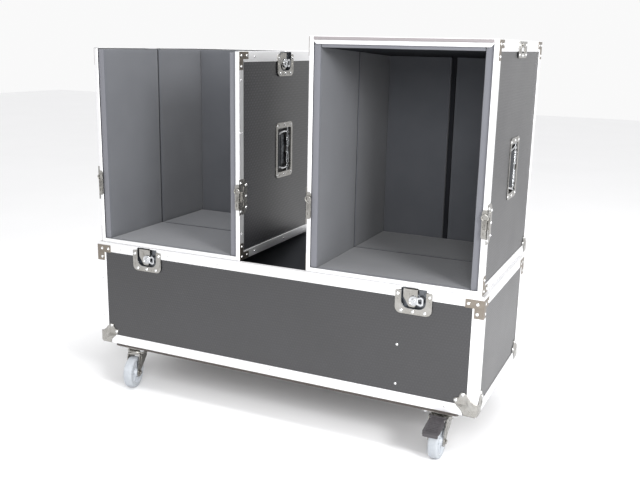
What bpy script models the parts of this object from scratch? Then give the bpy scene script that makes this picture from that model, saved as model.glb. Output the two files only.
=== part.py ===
"""Flight case for two loudspeakers: a wheeled tray with its two lift-off hoods stood on end on the rim.

The tray is an open-top plywood box on four casters. Each hood is a plywood box lined with foam. It stands on one
of its ends, with its opening to the front. Metres, +Z up, front towards -Y, origin on the floor under the middle.
"""

import math

import bmesh
import bpy
from mathutils import Matrix, Vector

MM = 0.001
GAP = 0.3 * MM  # clearance between pieces that touch on the real case

# Driving sizes of the case
TRAY = Vector((1250, 510, 336)) * MM
RIGHT_HOOD = Vector((506, 564, 647)) * MM
LEFT_HOOD = Vector((506, 564, 603)) * MM
CASTER_HEIGHT = 134 * MM
BASE_BOARD = 8 * MM
TRAY_BOTTOM = CASTER_HEIGHT + BASE_BOARD
RIM_TOP = TRAY_BOTTOM + TRAY.z
HOOD_BOTTOM = RIM_TOP + GAP
HOOD_FRONT = -TRAY.y / 2 + 6 * MM
LEFT_HOOD_X = -359 * MM
RIGHT_HOOD_X = 363 * MM

# Sheet, board and foam thicknesses
ANGLE = 2 * MM
TRAY_ANGLE_LEG = 30 * MM
HOOD_ANGLE_LEG = 26 * MM
RIM_FACE = 12.5 * MM
PANEL_INSET = ANGLE + GAP
TRAY_PANEL = 9.4 * MM
HOOD_PANEL = 8.5 * MM
FOAM = 22 * MM
STEEL = 1.5 * MM

# Places of the hardware
LATCH_FROM_END = 190 * MM
CASTER_X = 520 * MM
CASTER_Y = 205 * MM
HANDLE_FROM_END = 300 * MM


# ------------------------------------------------------------------ scene, materials and small builders

for old in list(bpy.data.objects):
    bpy.data.objects.remove(old, do_unlink=True)

case = bpy.data.collections.new("loudspeaker_flight_case")
cutters = bpy.data.collections.new("cutters")
for collection in (case, cutters):
    bpy.context.scene.collection.children.link(collection)


def make_material(name, colour, roughness, metallic=0.0):
    material = bpy.data.materials.new(name)
    material.use_nodes = True
    shader = material.node_tree.nodes["Principled BSDF"]
    shader.inputs["Base Color"].default_value = (*colour, 1.0)
    shader.inputs["Roughness"].default_value = roughness
    shader.inputs["Metallic"].default_value = metallic
    return material


LAMINATE = make_material("dark_laminate", (0.10, 0.10, 0.105), 0.5)
ALUMINIUM = make_material("anodised_aluminium", (0.85, 0.85, 0.86), 0.35, 1.0)
ZINC = make_material("zinc_plated_steel", (0.62, 0.63, 0.64), 0.3, 1.0)
FOAM_GREY = make_material("charcoal_foam", (0.16, 0.16, 0.17), 0.95)
BARE_BOARD = make_material("brown_black_board", (0.09, 0.08, 0.075), 0.7)
RUBBER = make_material("grey_rubber", (0.50, 0.52, 0.55), 0.7)
BLACK = make_material("black_rubber", (0.02, 0.02, 0.022), 0.6)


def add_object(name, mesh, material=None, parent=None, location=(0, 0, 0)):
    """Link a mesh as an object. Without a material it is a cutter or a tool for a union."""
    obj = bpy.data.objects.new(name, mesh)
    if material:
        mesh.materials.append(material)
        case.objects.link(obj)
    else:
        obj.hide_render = True
        obj.display_type = "WIRE"
        cutters.objects.link(obj)
    obj.parent = parent
    obj.location = location
    return obj


def add_empty(name, location, turn=0.0, parent=None):
    empty = bpy.data.objects.new(name, None)
    case.objects.link(empty)
    empty.location = location
    empty.rotation_euler.z = turn
    empty.parent = parent
    return empty


def mesh_from(bm, name):
    mesh = bpy.data.meshes.new(name)
    bm.to_mesh(mesh)
    bm.free()
    return mesh


def box_mesh(name, low, high, rounding=0.0, axes="xyz", segments=2):
    """A box between two corners. Edges along the given axes are rounded."""
    low, high = Vector(low), Vector(high)
    bm = bmesh.new()
    bmesh.ops.create_cube(bm, size=1.0)
    size = high - low
    bmesh.ops.scale(bm, vec=size, verts=bm.verts)
    bmesh.ops.translate(bm, vec=(low + high) / 2, verts=bm.verts)
    if rounding:
        wanted = ["xyz".index(axis) for axis in axes]
        edges = []
        for edge in bm.edges:
            span = edge.verts[1].co - edge.verts[0].co
            if max(range(3), key=lambda i: abs(span[i])) in wanted:
                edges.append(edge)
        bmesh.ops.bevel(bm, geom=edges, offset=rounding, segments=segments, profile=0.5, affect="EDGES")
    return mesh_from(bm, name)


def rod_mesh(name, start, end, radius, sides=20):
    """A solid cylinder between two points."""
    start, end = Vector(start), Vector(end)
    bm = bmesh.new()
    bmesh.ops.create_cone(bm, cap_ends=True, segments=sides, radius1=radius, radius2=radius,
                          depth=(end - start).length)
    turn = Vector((0, 0, 1)).rotation_difference(end - start).to_matrix().to_4x4()
    bmesh.ops.transform(bm, matrix=Matrix.Translation((start + end) / 2) @ turn, verts=bm.verts)
    return mesh_from(bm, name)


def combine(target, mesh, operation):
    """Cut a mesh from the target, or join it on, with the tool in the target's own space."""
    tool = add_object(f"{target.name}_{operation.lower()}", mesh, parent=target)
    modifier = target.modifiers.new(operation.title(), "BOOLEAN")
    modifier.operation = operation
    modifier.object = tool
    return tool


def cut_box(target, low, high):
    return combine(target, box_mesh("cut", low, high), "DIFFERENCE")


def join_box(target, low, high, rounding=0.0, axes="xyz"):
    return combine(target, box_mesh("join", low, high, rounding, axes), "UNION")


def shade_smooth(obj):
    obj.data.shade_smooth()
    obj.data.set_sharp_from_angle(angle=math.radians(35))


# ------------------------------------------------------------------ tray: panels, angles, rim, lining, board

def inset_box(size, bottom, amount, z_low, z_high):
    """Corners of a box inset on its four sides from a footprint of the given size, centred on x and y."""
    x = size.x / 2 - amount
    y = size.y / 2 - amount
    return (-x, -y, bottom + z_low), (x, y, bottom + z_high)


def tray_box(amount, z_low, z_high):
    return inset_box(TRAY, TRAY_BOTTOM, amount, z_low, z_high)


PAST = 20 * MM  # how far a cutter runs past an open side
RIM_HEIGHT = 30 * MM
RIM_CAP = 2.5 * MM
RIM_INNER_LEG = 14 * MM
tray_wall = PANEL_INSET + TRAY_PANEL
lining_inset = tray_wall + GAP

tray_shell = add_object("tray_shell", box_mesh("tray_shell", *tray_box(PANEL_INSET, PANEL_INSET,
                                                                      TRAY.z - RIM_CAP - GAP)), LAMINATE)
cut_box(tray_shell, *tray_box(tray_wall, tray_wall, TRAY.z + PAST))

tray_rim = add_object("tray_rim_frame", box_mesh("tray_rim_frame", *tray_box(0, TRAY.z - RIM_HEIGHT, TRAY.z)),
                      ALUMINIUM)
cut_box(tray_rim, *tray_box(lining_inset, 0, TRAY.z - RIM_INNER_LEG))
cut_box(tray_rim, *tray_box(RIM_INNER_LEG, 0, TRAY.z + PAST))
slot = cut_box(tray_rim, *tray_box(ANGLE, 0, TRAY.z - RIM_CAP))
cut_box(slot, *tray_box(lining_inset, -PAST, TRAY.z + PAST))

edge_top = TRAY.z - RIM_HEIGHT - GAP
tray_edges = add_object("tray_edge_frame", box_mesh("tray_edge_frame", *tray_box(0, 0, edge_top)), ALUMINIUM)
cut_box(tray_edges, *tray_box(ANGLE, ANGLE, TRAY.z))
leg_x = TRAY.x / 2 - TRAY_ANGLE_LEG
leg_y = TRAY.y / 2 - TRAY_ANGLE_LEG
window_z = TRAY_BOTTOM + TRAY_ANGLE_LEG
cut_box(tray_edges, (-leg_x, -TRAY.y, window_z), (leg_x, TRAY.y, RIM_TOP))
cut_box(tray_edges, (-TRAY.x, -leg_y, window_z), (TRAY.x, leg_y, RIM_TOP))
cut_box(tray_edges, (-leg_x, -leg_y, TRAY_BOTTOM - PAST), (leg_x, leg_y, RIM_TOP))


def add_ball_corners(frame, low, high, corners, size, proud):
    """Pressed corner caps joined on a frame of angles, each hollow over the panels."""
    inner_low = Vector(low) + Vector((1, 1, 1)) * MM
    inner_high = Vector(high) - Vector((1, 1, 1)) * MM
    for corner in corners:
        point = Vector([high[i] if corner[i] > 0 else low[i] for i in range(3)])
        outer = point + Vector(corner) * proud
        far = point - Vector(corner) * size
        cap_low = [min(outer[i], far[i]) for i in range(3)]
        cap_high = [max(outer[i], far[i]) for i in range(3)]
        cap = join_box(frame, cap_low, cap_high, rounding=2 * proud)
        cut_box(cap, inner_low, inner_high)


SIDES = (-1, 1)
BALL_CORNER = 55 * MM
BALL_PROUD = 3 * MM
tray_low, tray_high = tray_box(0, 0, TRAY.z)
add_ball_corners(tray_edges, tray_low, tray_high, [(x, y, -1) for x in SIDES for y in SIDES],
                 BALL_CORNER, BALL_PROUD)

tray_lining = add_object("tray_lining", box_mesh("tray_lining", *tray_box(lining_inset, lining_inset,
                                                                         TRAY.z - RIM_INNER_LEG - GAP)), FOAM_GREY)
cut_box(tray_lining, *tray_box(lining_inset + FOAM, lining_inset + FOAM, TRAY.z))

BOARD_INSET = 4 * MM
base_board = add_object("base_board", box_mesh("base_board", *tray_box(BOARD_INSET, -BASE_BOARD, -GAP)), BARE_BOARD)
for x in SIDES:
    for y in SIDES:
        notch = Vector((x * TRAY.x / 2, y * TRAY.y / 2, 0))
        reach = Vector((x, y, 0)) * (BALL_CORNER + GAP)
        low = [min(notch[i], notch[i] - reach[i]) for i in (0, 1)]
        high = [max(notch[i], notch[i] - reach[i]) for i in (0, 1)]
        cut_box(base_board, (*low, TRAY_BOTTOM - PAST), (*high, TRAY_BOTTOM + PAST))

# The divider stands on the bottom panel and reaches both long panels, where rivets hold it, through slots in the foam
DIVIDER_X = 393 * MM
DIVIDER_THICKNESS = 9 * MM
DIVIDER_TOP = 300 * MM


def divider_box(clearance):
    x = DIVIDER_THICKNESS / 2 + clearance
    y = TRAY.y / 2 - lining_inset + clearance
    return ((DIVIDER_X - x, -y, TRAY_BOTTOM + lining_inset - clearance),
            (DIVIDER_X + x, y, TRAY_BOTTOM + DIVIDER_TOP + clearance))


add_object("tray_divider", box_mesh("tray_divider", *divider_box(0)), LAMINATE)
cut_box(tray_lining, *divider_box(GAP))


# ------------------------------------------------------------------ butterfly latch: dish, hook and key
# Local frame of every piece set in a panel: x along the panel, +y into the panel from the angles' outer face,
# z up, with z = 0 at the top edge of the box.

DISH_WIDTH = 105 * MM
DISH_TOP = -2 * MM
DISH_BOTTOM = -80 * MM
PAN_HALF = 42 * MM
PAN_BOTTOM = -68 * MM
PAN_DEPTH = 10 * MM
KEY_Z = -36 * MM
HOOK_TRAVEL = 9 * MM


def add_latch(prefix, mount, cut_targets, wall):
    """A recessed latch in a wall of the given thickness. The mount empty stands at the wall's top edge."""
    skin = -STEEL - GAP
    dish = add_object(f"{prefix}_dish", box_mesh("dish", (-DISH_WIDTH / 2, skin, DISH_BOTTOM),
                                                 (DISH_WIDTH / 2, -GAP, DISH_TOP), 9 * MM, "y"), ZINC, mount)
    join_box(dish, (-PAN_HALF, skin, PAN_BOTTOM), (PAN_HALF, PAN_DEPTH, DISH_TOP))
    cut_box(dish, (-PAN_HALF + STEEL, -PAST, PAN_BOTTOM + STEEL), (PAN_HALF - STEEL, PAN_DEPTH - STEEL, PAST))
    for target in cut_targets:
        tool = cut_box(target, (-PAN_HALF - GAP, -PAST, PAN_BOTTOM - GAP), (PAN_HALF + GAP, wall + GAP / 2, PAST))
        tool.parent = mount

    hook_front = 1.5 * MM
    hook_back = 3.9 * MM
    hook_half = 13 * MM
    post = 4 * MM
    hook = add_object(f"{prefix}_hook", box_mesh("hook", (-hook_half, hook_front, -57 * MM),
                                                 (hook_half, hook_back, -4 * MM), 4 * MM, "y"), ZINC, mount)
    join_box(hook, (-hook_half + 4 * MM, -1.5 * MM, -7 * MM), (hook_half - 4 * MM, hook_front + MM, -4 * MM))
    slot_half = post + 0.6 * MM
    cut_box(hook, (-slot_half, -PAST, KEY_Z - slot_half - HOOK_TRAVEL), (slot_half, PAST, KEY_Z + slot_half))

    key = add_object(f"{prefix}_key", rod_mesh("key", (0, -3 * MM, 0), (0, hook_front - GAP, 0), 14 * MM), ZINC,
                     mount, (0, 0, KEY_Z))
    combine(key, rod_mesh("post", (0, -2 * MM, 0), (0, PAN_DEPTH - STEEL - GAP, 0), post, 12), "UNION")
    join_box(key, (0, -2.4 * MM, -11 * MM), (27 * MM, 0.4 * MM, 11 * MM), 6 * MM, "y")
    cut_box(key, (16 * MM, -PAST, -5 * MM), (22 * MM, PAST, 5 * MM))
    shade_smooth(key)


latch_x = TRAY.x / 2 - LATCH_FROM_END
for face, y, turn in (("front", -TRAY.y / 2, 0.0), ("back", TRAY.y / 2, math.pi)):
    for side, x in (("left", -latch_x), ("right", latch_x)):
        mount = add_empty(f"mount_latch_{face}_{side}", (x, y, RIM_TOP), turn)
        add_latch(f"latch_{face}_{side}", mount, (tray_shell, tray_rim), tray_wall)


# ------------------------------------------------------------------ casters: plate, fork, wheel and brake pedal
# Local frame: origin on the swivel axis at floor level, the wheel trails towards -y.

WHEEL_RADIUS = 50 * MM
WHEEL_HALF_WIDTH = 16 * MM
TRAIL = 40 * MM
AXLE_RADIUS = 5 * MM
PLATE_TOP = CASTER_HEIGHT - GAP
PLATE_BOTTOM = PLATE_TOP - 3.2 * MM
RACE_BOTTOM = PLATE_BOTTOM - 10 * MM
CROWN_BOTTOM = 106 * MM
LEG_INNER = 18.5 * MM
LEG_OUTER = 21.5 * MM
PEDAL_PIVOT = Vector((0, -42, 118)) * MM
PEDAL_SLOPE = math.radians(13)


def turned_mesh(name, profile, steps):
    """A solid turned about the x axis from a closed profile of (radius, x) points."""
    bm = bmesh.new()
    ring = [bm.verts.new((x, 0.0, radius)) for radius, x in profile]
    for i, vert in enumerate(ring):
        bm.edges.new((vert, ring[(i + 1) % len(ring)]))
    bmesh.ops.spin(bm, geom=bm.verts[:] + bm.edges[:], cent=(0, 0, 0), axis=(1, 0, 0),
                   angle=2 * math.pi, steps=steps, use_duplicate=False)
    bmesh.ops.remove_doubles(bm, verts=bm.verts, dist=0.01 * MM)
    bmesh.ops.recalc_face_normals(bm, faces=bm.faces)
    return mesh_from(bm, name)


def leg_mesh(name, x_low, x_high):
    """One fork leg: a plate that narrows from the crown to a round end about the axle."""
    end = 15 * MM
    outline = [(-34 * MM, CROWN_BOTTOM + 2 * MM), (24 * MM, CROWN_BOTTOM + 2 * MM), (20 * MM, 88 * MM)]
    steps = 7
    for i in range(steps + 1):
        angle = math.radians(20 - 205 * i / steps)
        outline.append((-TRAIL + end * math.cos(angle), WHEEL_RADIUS + end * math.sin(angle)))
    bm = bmesh.new()
    cap = bm.faces.new([bm.verts.new((x_low, y, z)) for y, z in outline])
    walls = bmesh.ops.extrude_face_region(bm, geom=[cap])
    moved = [item for item in walls["geom"] if isinstance(item, bmesh.types.BMVert)]
    bmesh.ops.translate(bm, vec=(x_high - x_low, 0, 0), verts=moved)
    bmesh.ops.recalc_face_normals(bm, faces=bm.faces)
    return mesh_from(bm, name)


def add_caster(prefix, x, y, turn, braked):
    swivel = add_empty(f"{prefix}_swivel", (x, y, 0), turn)
    plate_turn = add_empty(f"{prefix}_mount", (x, y, 0))
    plate = add_object(f"{prefix}_plate", box_mesh("plate", (-52.5 * MM, -42.5 * MM, PLATE_BOTTOM),
                                                   (52.5 * MM, 42.5 * MM, PLATE_TOP), 8 * MM, "z"), ZINC, plate_turn)
    combine(plate, rod_mesh("race", (0, 0, RACE_BOTTOM), (0, 0, PLATE_BOTTOM + MM), 29 * MM), "UNION")

    crown_top = RACE_BOTTOM - GAP
    fork = add_object(f"{prefix}_fork", rod_mesh("crown", (0, 0, CROWN_BOTTOM + 4 * MM), (0, 0, crown_top),
                                                 33 * MM), ZINC, swivel)
    join_box(fork, (-LEG_OUTER, -34 * MM, CROWN_BOTTOM), (LEG_OUTER, 24 * MM, CROWN_BOTTOM + 6 * MM))
    for side in SIDES:
        near, far = sorted((side * LEG_INNER, side * LEG_OUTER))
        combine(fork, leg_mesh("leg", near, far), "UNION")
    axle_reach = LEG_OUTER + 5 * MM
    axle_start = (-axle_reach, -TRAIL, WHEEL_RADIUS)
    combine(fork, rod_mesh("axle", axle_start, (axle_reach, -TRAIL, WHEEL_RADIUS), AXLE_RADIUS, 12), "UNION")

    bore = AXLE_RADIUS + 0.5 * MM
    tread = WHEEL_RADIUS
    profile = [(bore, -18 * MM), (14 * MM, -18 * MM), (17 * MM, -11 * MM), (36 * MM, -11 * MM),
               (42 * MM, -14 * MM), (tread - 3 * MM, -14 * MM), (tread, -9 * MM)]
    profile += [(radius, -x) for radius, x in reversed(profile)]
    wheel = add_object(f"{prefix}_wheel", turned_mesh("wheel", profile, 20), RUBBER, swivel,
                       (0, -TRAIL, WHEEL_RADIUS))
    shade_smooth(wheel)

    if braked:
        lug_inner = 24.6 * MM
        lug_outer = 27.6 * MM
        join_box(fork, (-lug_outer, -34 * MM, CROWN_BOTTOM + 3 * MM), (lug_outer, -24 * MM, crown_top - 3 * MM))
        for side in SIDES:
            near, far = sorted((side * lug_inner, side * lug_outer))
            join_box(fork, (near, -48 * MM, CROWN_BOTTOM + 3 * MM), (far, -26 * MM, crown_top - 3 * MM))
        pedal = add_object(f"{prefix}_brake_pedal",
                           box_mesh("pedal", (-24 * MM, -79 * MM, -2 * MM), (24 * MM, 0, 3.5 * MM), 5 * MM, "z"),
                           BLACK, swivel, PEDAL_PIVOT)
        pedal.rotation_euler.x = PEDAL_SLOPE
        barrel_reach = lug_inner - GAP
        combine(pedal, rod_mesh("barrel", (-barrel_reach, 0, 0), (barrel_reach, 0, 0), 4 * MM, 12), "UNION")


CASTERS = (("caster_front_left", -CASTER_X, -CASTER_Y, math.radians(13), False),
           ("caster_front_right", CASTER_X, -CASTER_Y, 0.0, True),
           ("caster_back_left", -CASTER_X, CASTER_Y, math.radians(160), False),
           ("caster_back_right", CASTER_X, CASTER_Y, math.pi, True))
for caster in CASTERS:
    add_caster(*caster)


# ------------------------------------------------------------------ recessed spring handle: dish and grip

HANDLE_HALF_WIDTH = 55 * MM
HANDLE_HALF_HEIGHT = 86 * MM
HANDLE_PAN_HALF_WIDTH = 46 * MM
HANDLE_PAN_HALF_HEIGHT = 70 * MM
HANDLE_PAN_DEPTH = 15 * MM
GRIP_PIVOT_X = 30 * MM
GRIP_X = -30 * MM
GRIP_RADIUS = 7.5 * MM


def add_handle(prefix, mount, shell, lining):
    """A handle set in a hood's wall. The mount empty stands at the handle's middle, on the angles' outer face."""
    face = PANEL_INSET - GAP
    dish = add_object(f"{prefix}_dish", box_mesh("dish", (-HANDLE_HALF_WIDTH, face - STEEL, -HANDLE_HALF_HEIGHT),
                                                 (HANDLE_HALF_WIDTH, face, HANDLE_HALF_HEIGHT), 12 * MM, "y"),
                      ZINC, mount)
    pan_x = HANDLE_PAN_HALF_WIDTH
    pan_z = HANDLE_PAN_HALF_HEIGHT
    join_box(dish, (-pan_x, face - STEEL, -pan_z), (pan_x, HANDLE_PAN_DEPTH, pan_z))
    cut_box(dish, (-pan_x + STEEL, -PAST, -pan_z + STEEL), (pan_x - STEEL, HANDLE_PAN_DEPTH - STEEL, pan_z - STEEL))
    for target in (shell, lining):
        tool = cut_box(target, (-pan_x - GAP, -PAST, -pan_z - GAP), (pan_x + GAP, HANDLE_PAN_DEPTH + GAP, pan_z + GAP))
        tool.parent = mount

    swing = GRIP_X - GRIP_PIVOT_X
    depth = 6.5 * MM
    grip_y = -3 * MM
    end = pan_z - STEEL - GAP
    arm = 56 * MM
    pivot = (GRIP_PIVOT_X, depth, 0)
    grip = add_object(f"{prefix}_grip", rod_mesh("grip", (swing, grip_y, -50 * MM), (swing, grip_y, 50 * MM),
                                                 GRIP_RADIUS, 16), BLACK, mount, pivot)
    combine(grip, rod_mesh("spindle", (0, 0, -end), (0, 0, end), 3 * MM, 10), "UNION")
    combine(grip, rod_mesh("core", (swing, grip_y, -arm - 3 * MM), (swing, grip_y, arm + 3 * MM), 4 * MM, 10), "UNION")
    for side in SIDES:
        low, high = sorted((side * arm, side * (arm - 5 * MM)))
        join_box(grip, (swing, grip_y - 3 * MM, low), (0, 3 * MM, high))
    shade_smooth(grip)


# ------------------------------------------------------------------ hoods: frame, shell, lining and hardware
# Local frame: origin on the bottom front edge at mid width, the opening faces -y.

JOINT_BAND = 30 * MM
CATCH_HALF = 52 * MM
CATCH_REACH = 42 * MM
KEEPER_HEIGHT = 45 * MM
FLOOR_MAT = 4 * MM


def add_hood(prefix, size, x, open_top):
    hood = add_empty(prefix, (x, HOOD_FRONT, HOOD_BOTTOM))
    half = size.x / 2
    wall = PANEL_INSET + HOOD_PANEL
    leg = HOOD_ANGLE_LEG

    def inset(amount, front, top):
        return (-half + amount, front, amount), (half - amount, size.y - amount, top)

    frame = add_object(f"{prefix}_frame", box_mesh("frame", *inset(0, 0, size.z)), ALUMINIUM, hood)
    cut_box(frame, *inset(ANGLE, ANGLE, size.z - ANGLE))
    band = size.z - JOINT_BAND
    cut_box(frame, (-size.x, leg, leg), (size.x, size.y - leg, band))
    cut_box(frame, (-half + leg, size.y / 2, leg), (half - leg, size.y + PAST, band))
    cut_box(frame, (-half + leg, leg, -PAST), (half - leg, size.y - leg, size.z / 2))
    opening_x = half - RIM_FACE
    if open_top:
        cut_box(frame, (-opening_x, -PAST, size.z / 2), (opening_x, size.y - RIM_FACE, size.z + PAST))
        cut_box(frame, (-opening_x, -PAST, RIM_FACE), (opening_x, PAST, size.z))
    else:
        cut_box(frame, (-half + leg, leg, size.z / 2), (half - leg, size.y - leg, size.z + PAST))
        cut_box(frame, (-opening_x, -PAST, RIM_FACE), (opening_x, PAST, size.z - RIM_FACE))
    add_ball_corners(frame, (-half, 0, 0), (half, size.y, size.z), [(-1, 1, -1), (1, 1, -1)], 45 * MM, 2 * MM)

    shell = add_object(f"{prefix}_shell", box_mesh("shell", *inset(PANEL_INSET, PANEL_INSET, size.z - PANEL_INSET)),
                       LAMINATE, hood)
    cut_box(shell, *inset(wall, -PAST, size.z + PAST if open_top else size.z - wall))
    foam = wall + GAP
    foam_top = size.z - 4 * MM if open_top else size.z - foam
    sheet = {"back": add_object(f"{prefix}_lining", box_mesh("lining", *inset(foam, 4 * MM, foam_top)), FOAM_GREY,
                                hood)}
    low, high = inset(foam + FOAM, -PAST, size.z + PAST if open_top else size.z - foam - FOAM)
    cut_box(sheet["back"], (low[0], low[1], foam + FLOOR_MAT), high)
    if open_top:
        # The open box is lined with three pieces: a back and floor sheet between two side sheets.
        inner = half - foam - FOAM - GAP
        cut_box(sheet["back"], (-size.x, -PAST, 0), (-inner, size.y, size.z + PAST))
        cut_box(sheet["back"], (inner, -PAST, 0), (size.x, size.y, size.z + PAST))
        for name, x in (("left", -half + foam), ("right", half - foam - FOAM)):
            corners = ((x, 4 * MM, foam), (x + FOAM, size.y - foam, foam_top))
            sheet[name] = add_object(f"{prefix}_lining_{name}", box_mesh("lining", *corners), FOAM_GREY, hood)

    for name, side in (("left", -1), ("right", 1)):
        turn = side * math.pi / 2
        middle = size.y / 2
        handle = add_empty(f"mount_{prefix}_handle_{name}", (side * half, middle, HANDLE_FROM_END), turn, hood)
        add_handle(f"{prefix}_handle_{name}", handle, shell, sheet.get(name, sheet["back"]))
        joint = add_empty(f"mount_{prefix}_joint_{name}", (side * half, middle, size.z), turn, hood)
        if open_top:
            add_latch(f"{prefix}_latch_{name}", joint, (shell, frame), wall)
        else:
            skin = -STEEL - GAP
            keeper = add_object(f"{prefix}_keeper_{name}",
                                box_mesh("keeper", (-DISH_WIDTH / 2, skin, DISH_TOP - KEEPER_HEIGHT),
                                         (DISH_WIDTH / 2, -GAP, DISH_TOP), 9 * MM, "y"), ZINC, joint)
            join_box(keeper, (-15 * MM, skin - 3 * MM, -15 * MM), (15 * MM, skin + MM, -9 * MM))

        near, far = sorted((side * (half + GAP), side * (half + GAP + STEEL)))
        low, high = LATCH_FROM_END - CATCH_HALF, LATCH_FROM_END + CATCH_HALF
        front = -GAP - STEEL
        catch = add_object(f"{prefix}_rim_catch_{name}",
                           box_mesh("catch", (near, front, low), (far, CATCH_REACH, high), 7 * MM, "x"), ZINC, hood)
        lip_near, lip_far = sorted((side * (half - 14 * MM), far if side > 0 else near))
        join_box(catch, (lip_near, front, low + 14 * MM), (lip_far, -GAP, high - 14 * MM))
        bar_near, bar_far = sorted((side * (half + STEEL), side * (half + STEEL + 4 * MM)))
        join_box(catch, (bar_near, 8 * MM, LATCH_FROM_END - 15 * MM), (bar_far, 14 * MM, LATCH_FROM_END + 15 * MM))


add_hood("hood_left", LEFT_HOOD, LEFT_HOOD_X, True)
add_hood("hood_right", RIGHT_HOOD, RIGHT_HOOD_X, False)
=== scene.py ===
"""Looks for a loudspeaker flight case: a wheeled tray with its two lift-off hoods stood on end on the rim."""

import math

import bmesh
import bpy
from mathutils import Matrix, Vector, noise


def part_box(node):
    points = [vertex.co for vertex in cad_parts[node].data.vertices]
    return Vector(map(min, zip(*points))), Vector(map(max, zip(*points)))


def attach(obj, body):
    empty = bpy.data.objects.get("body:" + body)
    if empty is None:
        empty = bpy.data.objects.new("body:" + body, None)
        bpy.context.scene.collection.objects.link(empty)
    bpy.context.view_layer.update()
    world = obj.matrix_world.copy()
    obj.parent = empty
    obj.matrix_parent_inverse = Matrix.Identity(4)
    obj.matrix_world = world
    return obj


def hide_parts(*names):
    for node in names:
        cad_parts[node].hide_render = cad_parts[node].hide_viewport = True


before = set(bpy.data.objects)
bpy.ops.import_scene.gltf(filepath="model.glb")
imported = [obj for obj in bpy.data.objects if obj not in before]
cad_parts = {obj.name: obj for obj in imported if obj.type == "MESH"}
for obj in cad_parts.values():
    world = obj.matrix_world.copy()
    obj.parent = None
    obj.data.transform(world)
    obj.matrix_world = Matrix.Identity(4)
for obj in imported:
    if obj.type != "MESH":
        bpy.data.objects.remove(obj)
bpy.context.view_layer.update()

# ------------------------------------------------------------------ plywood panels
# Nine millimetre plywood skinned with a dark grey laminate that a textured press plate has embossed with small
# hexagonal pimples. The panels slide into the aluminium angles. The divider is the same board, and so are the hoods.

MM = 0.001


def linear(hex_colour):
    """An sRGB hex colour as linear RGBA."""
    parts = [int(hex_colour[i:i + 2], 16) / 255 for i in (0, 2, 4)]
    return (*[p / 12.92 if p <= 0.04045 else ((p + 0.055) / 1.055) ** 2.4 for p in parts], 1.0)


def add_node(owner, kind, settings=None, links=None):
    """A node in a material or tree with its settings, by property or input socket, and the links that go into it."""
    tree = getattr(owner, "node_tree", owner)
    node = tree.nodes.new(kind)
    for name, value in (settings or {}).items():
        if isinstance(name, str) and hasattr(node, name):
            setattr(node, name, value)
        else:
            node.inputs[name].default_value = value
    for name, source in (links or {}).items():
        tree.links.new(source, node.inputs[name])
    return node


def new_finish(name, settings):
    """A node material and its shader, with the constants set on the shader's own sockets."""
    material = bpy.data.materials.new(name)
    material.use_nodes = True
    shader = material.node_tree.nodes["Principled BSDF"]
    for socket, value in settings.items():
        shader.inputs[socket].default_value = value
    return material, shader


def cloud_finish(material, shader, vector, per_metre, colours, roughness):
    """Lets the colour and the roughness drift between two values in soft patches."""
    links = material.node_tree.links
    cloud = add_node(material, "ShaderNodeTexNoise", {"Scale": per_metre, "Detail": 4.0}, {"Vector": vector})
    tint = add_node(material, "ShaderNodeMix", {"data_type": "RGBA", 6: linear(colours[0]), 7: linear(colours[1])},
                    {0: cloud.outputs[0]})
    gloss = add_node(material, "ShaderNodeMapRange", {"To Min": roughness[0], "To Max": roughness[1]},
                     {"Value": cloud.outputs[0]})
    links.new(tint.outputs[2], shader.inputs["Base Color"])
    links.new(gloss.outputs[0], shader.inputs["Roughness"])
    return tint


def bump_finish(material, shader, height, distance, strength=1.0):
    bump = add_node(material, "ShaderNodeBump", {"Distance": distance, "Strength": strength}, {"Height": height})
    material.node_tree.links.new(bump.outputs["Normal"], shader.inputs["Normal"])


def plain_finish(name, settings, per_metre, colours, roughness, relief=None):
    """A finish that drifts in soft patches. Its relief is (texture, its settings, depth, strength)."""
    material, shader = new_finish(name, settings)
    place = add_node(material, "ShaderNodeTexCoord").outputs["Object"]
    cloud_finish(material, shader, place, per_metre, colours, roughness)
    if relief:
        kind, texture, distance, strength = relief
        grain = add_node(material, kind, texture, {"Vector": place})
        bump_finish(material, shader, grain.outputs[0], distance, strength)
    return material


# Embossed laminate: a hard melamine film with a satin gloss that brightens at a low angle. The real pimples are about
# 5 mm apart, drawn here 9 mm apart so that they show.
PIMPLE_SPACING = 9 * MM
laminate, shader = new_finish("embossed_laminate_dark_grey", {"Specular IOR Level": 0.8})
place = add_node(laminate, "ShaderNodeTexCoord")
cloud_tint = cloud_finish(laminate, shader, place.outputs["Object"], 6.0, ("202022", "2a2a2d"), (0.27, 0.39))
facing = add_node(laminate, "ShaderNodeNewGeometry")
side = add_node(laminate, "ShaderNodeVectorMath", {"operation": "ABSOLUTE"}, {0: facing.outputs["True Normal"]})
axis = add_node(laminate, "ShaderNodeSeparateXYZ", {}, {0: side.outputs[0]})
point = add_node(laminate, "ShaderNodeSeparateXYZ", {}, {0: place.outputs["Object"]})
face_x = add_node(laminate, "ShaderNodeMath", {"operation": "GREATER_THAN", 1: 0.7}, {0: axis.outputs["X"]})
face_z = add_node(laminate, "ShaderNodeMath", {"operation": "GREATER_THAN", 1: 0.7}, {0: axis.outputs["Z"]})
across = add_node(laminate, "ShaderNodeMix", {}, {0: face_x.outputs[0], 2: point.outputs["X"], 3: point.outputs["Y"]})
upward = add_node(laminate, "ShaderNodeMix", {}, {0: face_z.outputs[0], 2: point.outputs["Z"], 3: point.outputs["Y"]})
flat_place = add_node(laminate, "ShaderNodeCombineXYZ", {}, {"X": across.outputs[0], "Y": upward.outputs[0]})
waves = None
turns_per_metre = 4 * math.pi / (math.sqrt(3) * PIMPLE_SPACING)
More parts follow.
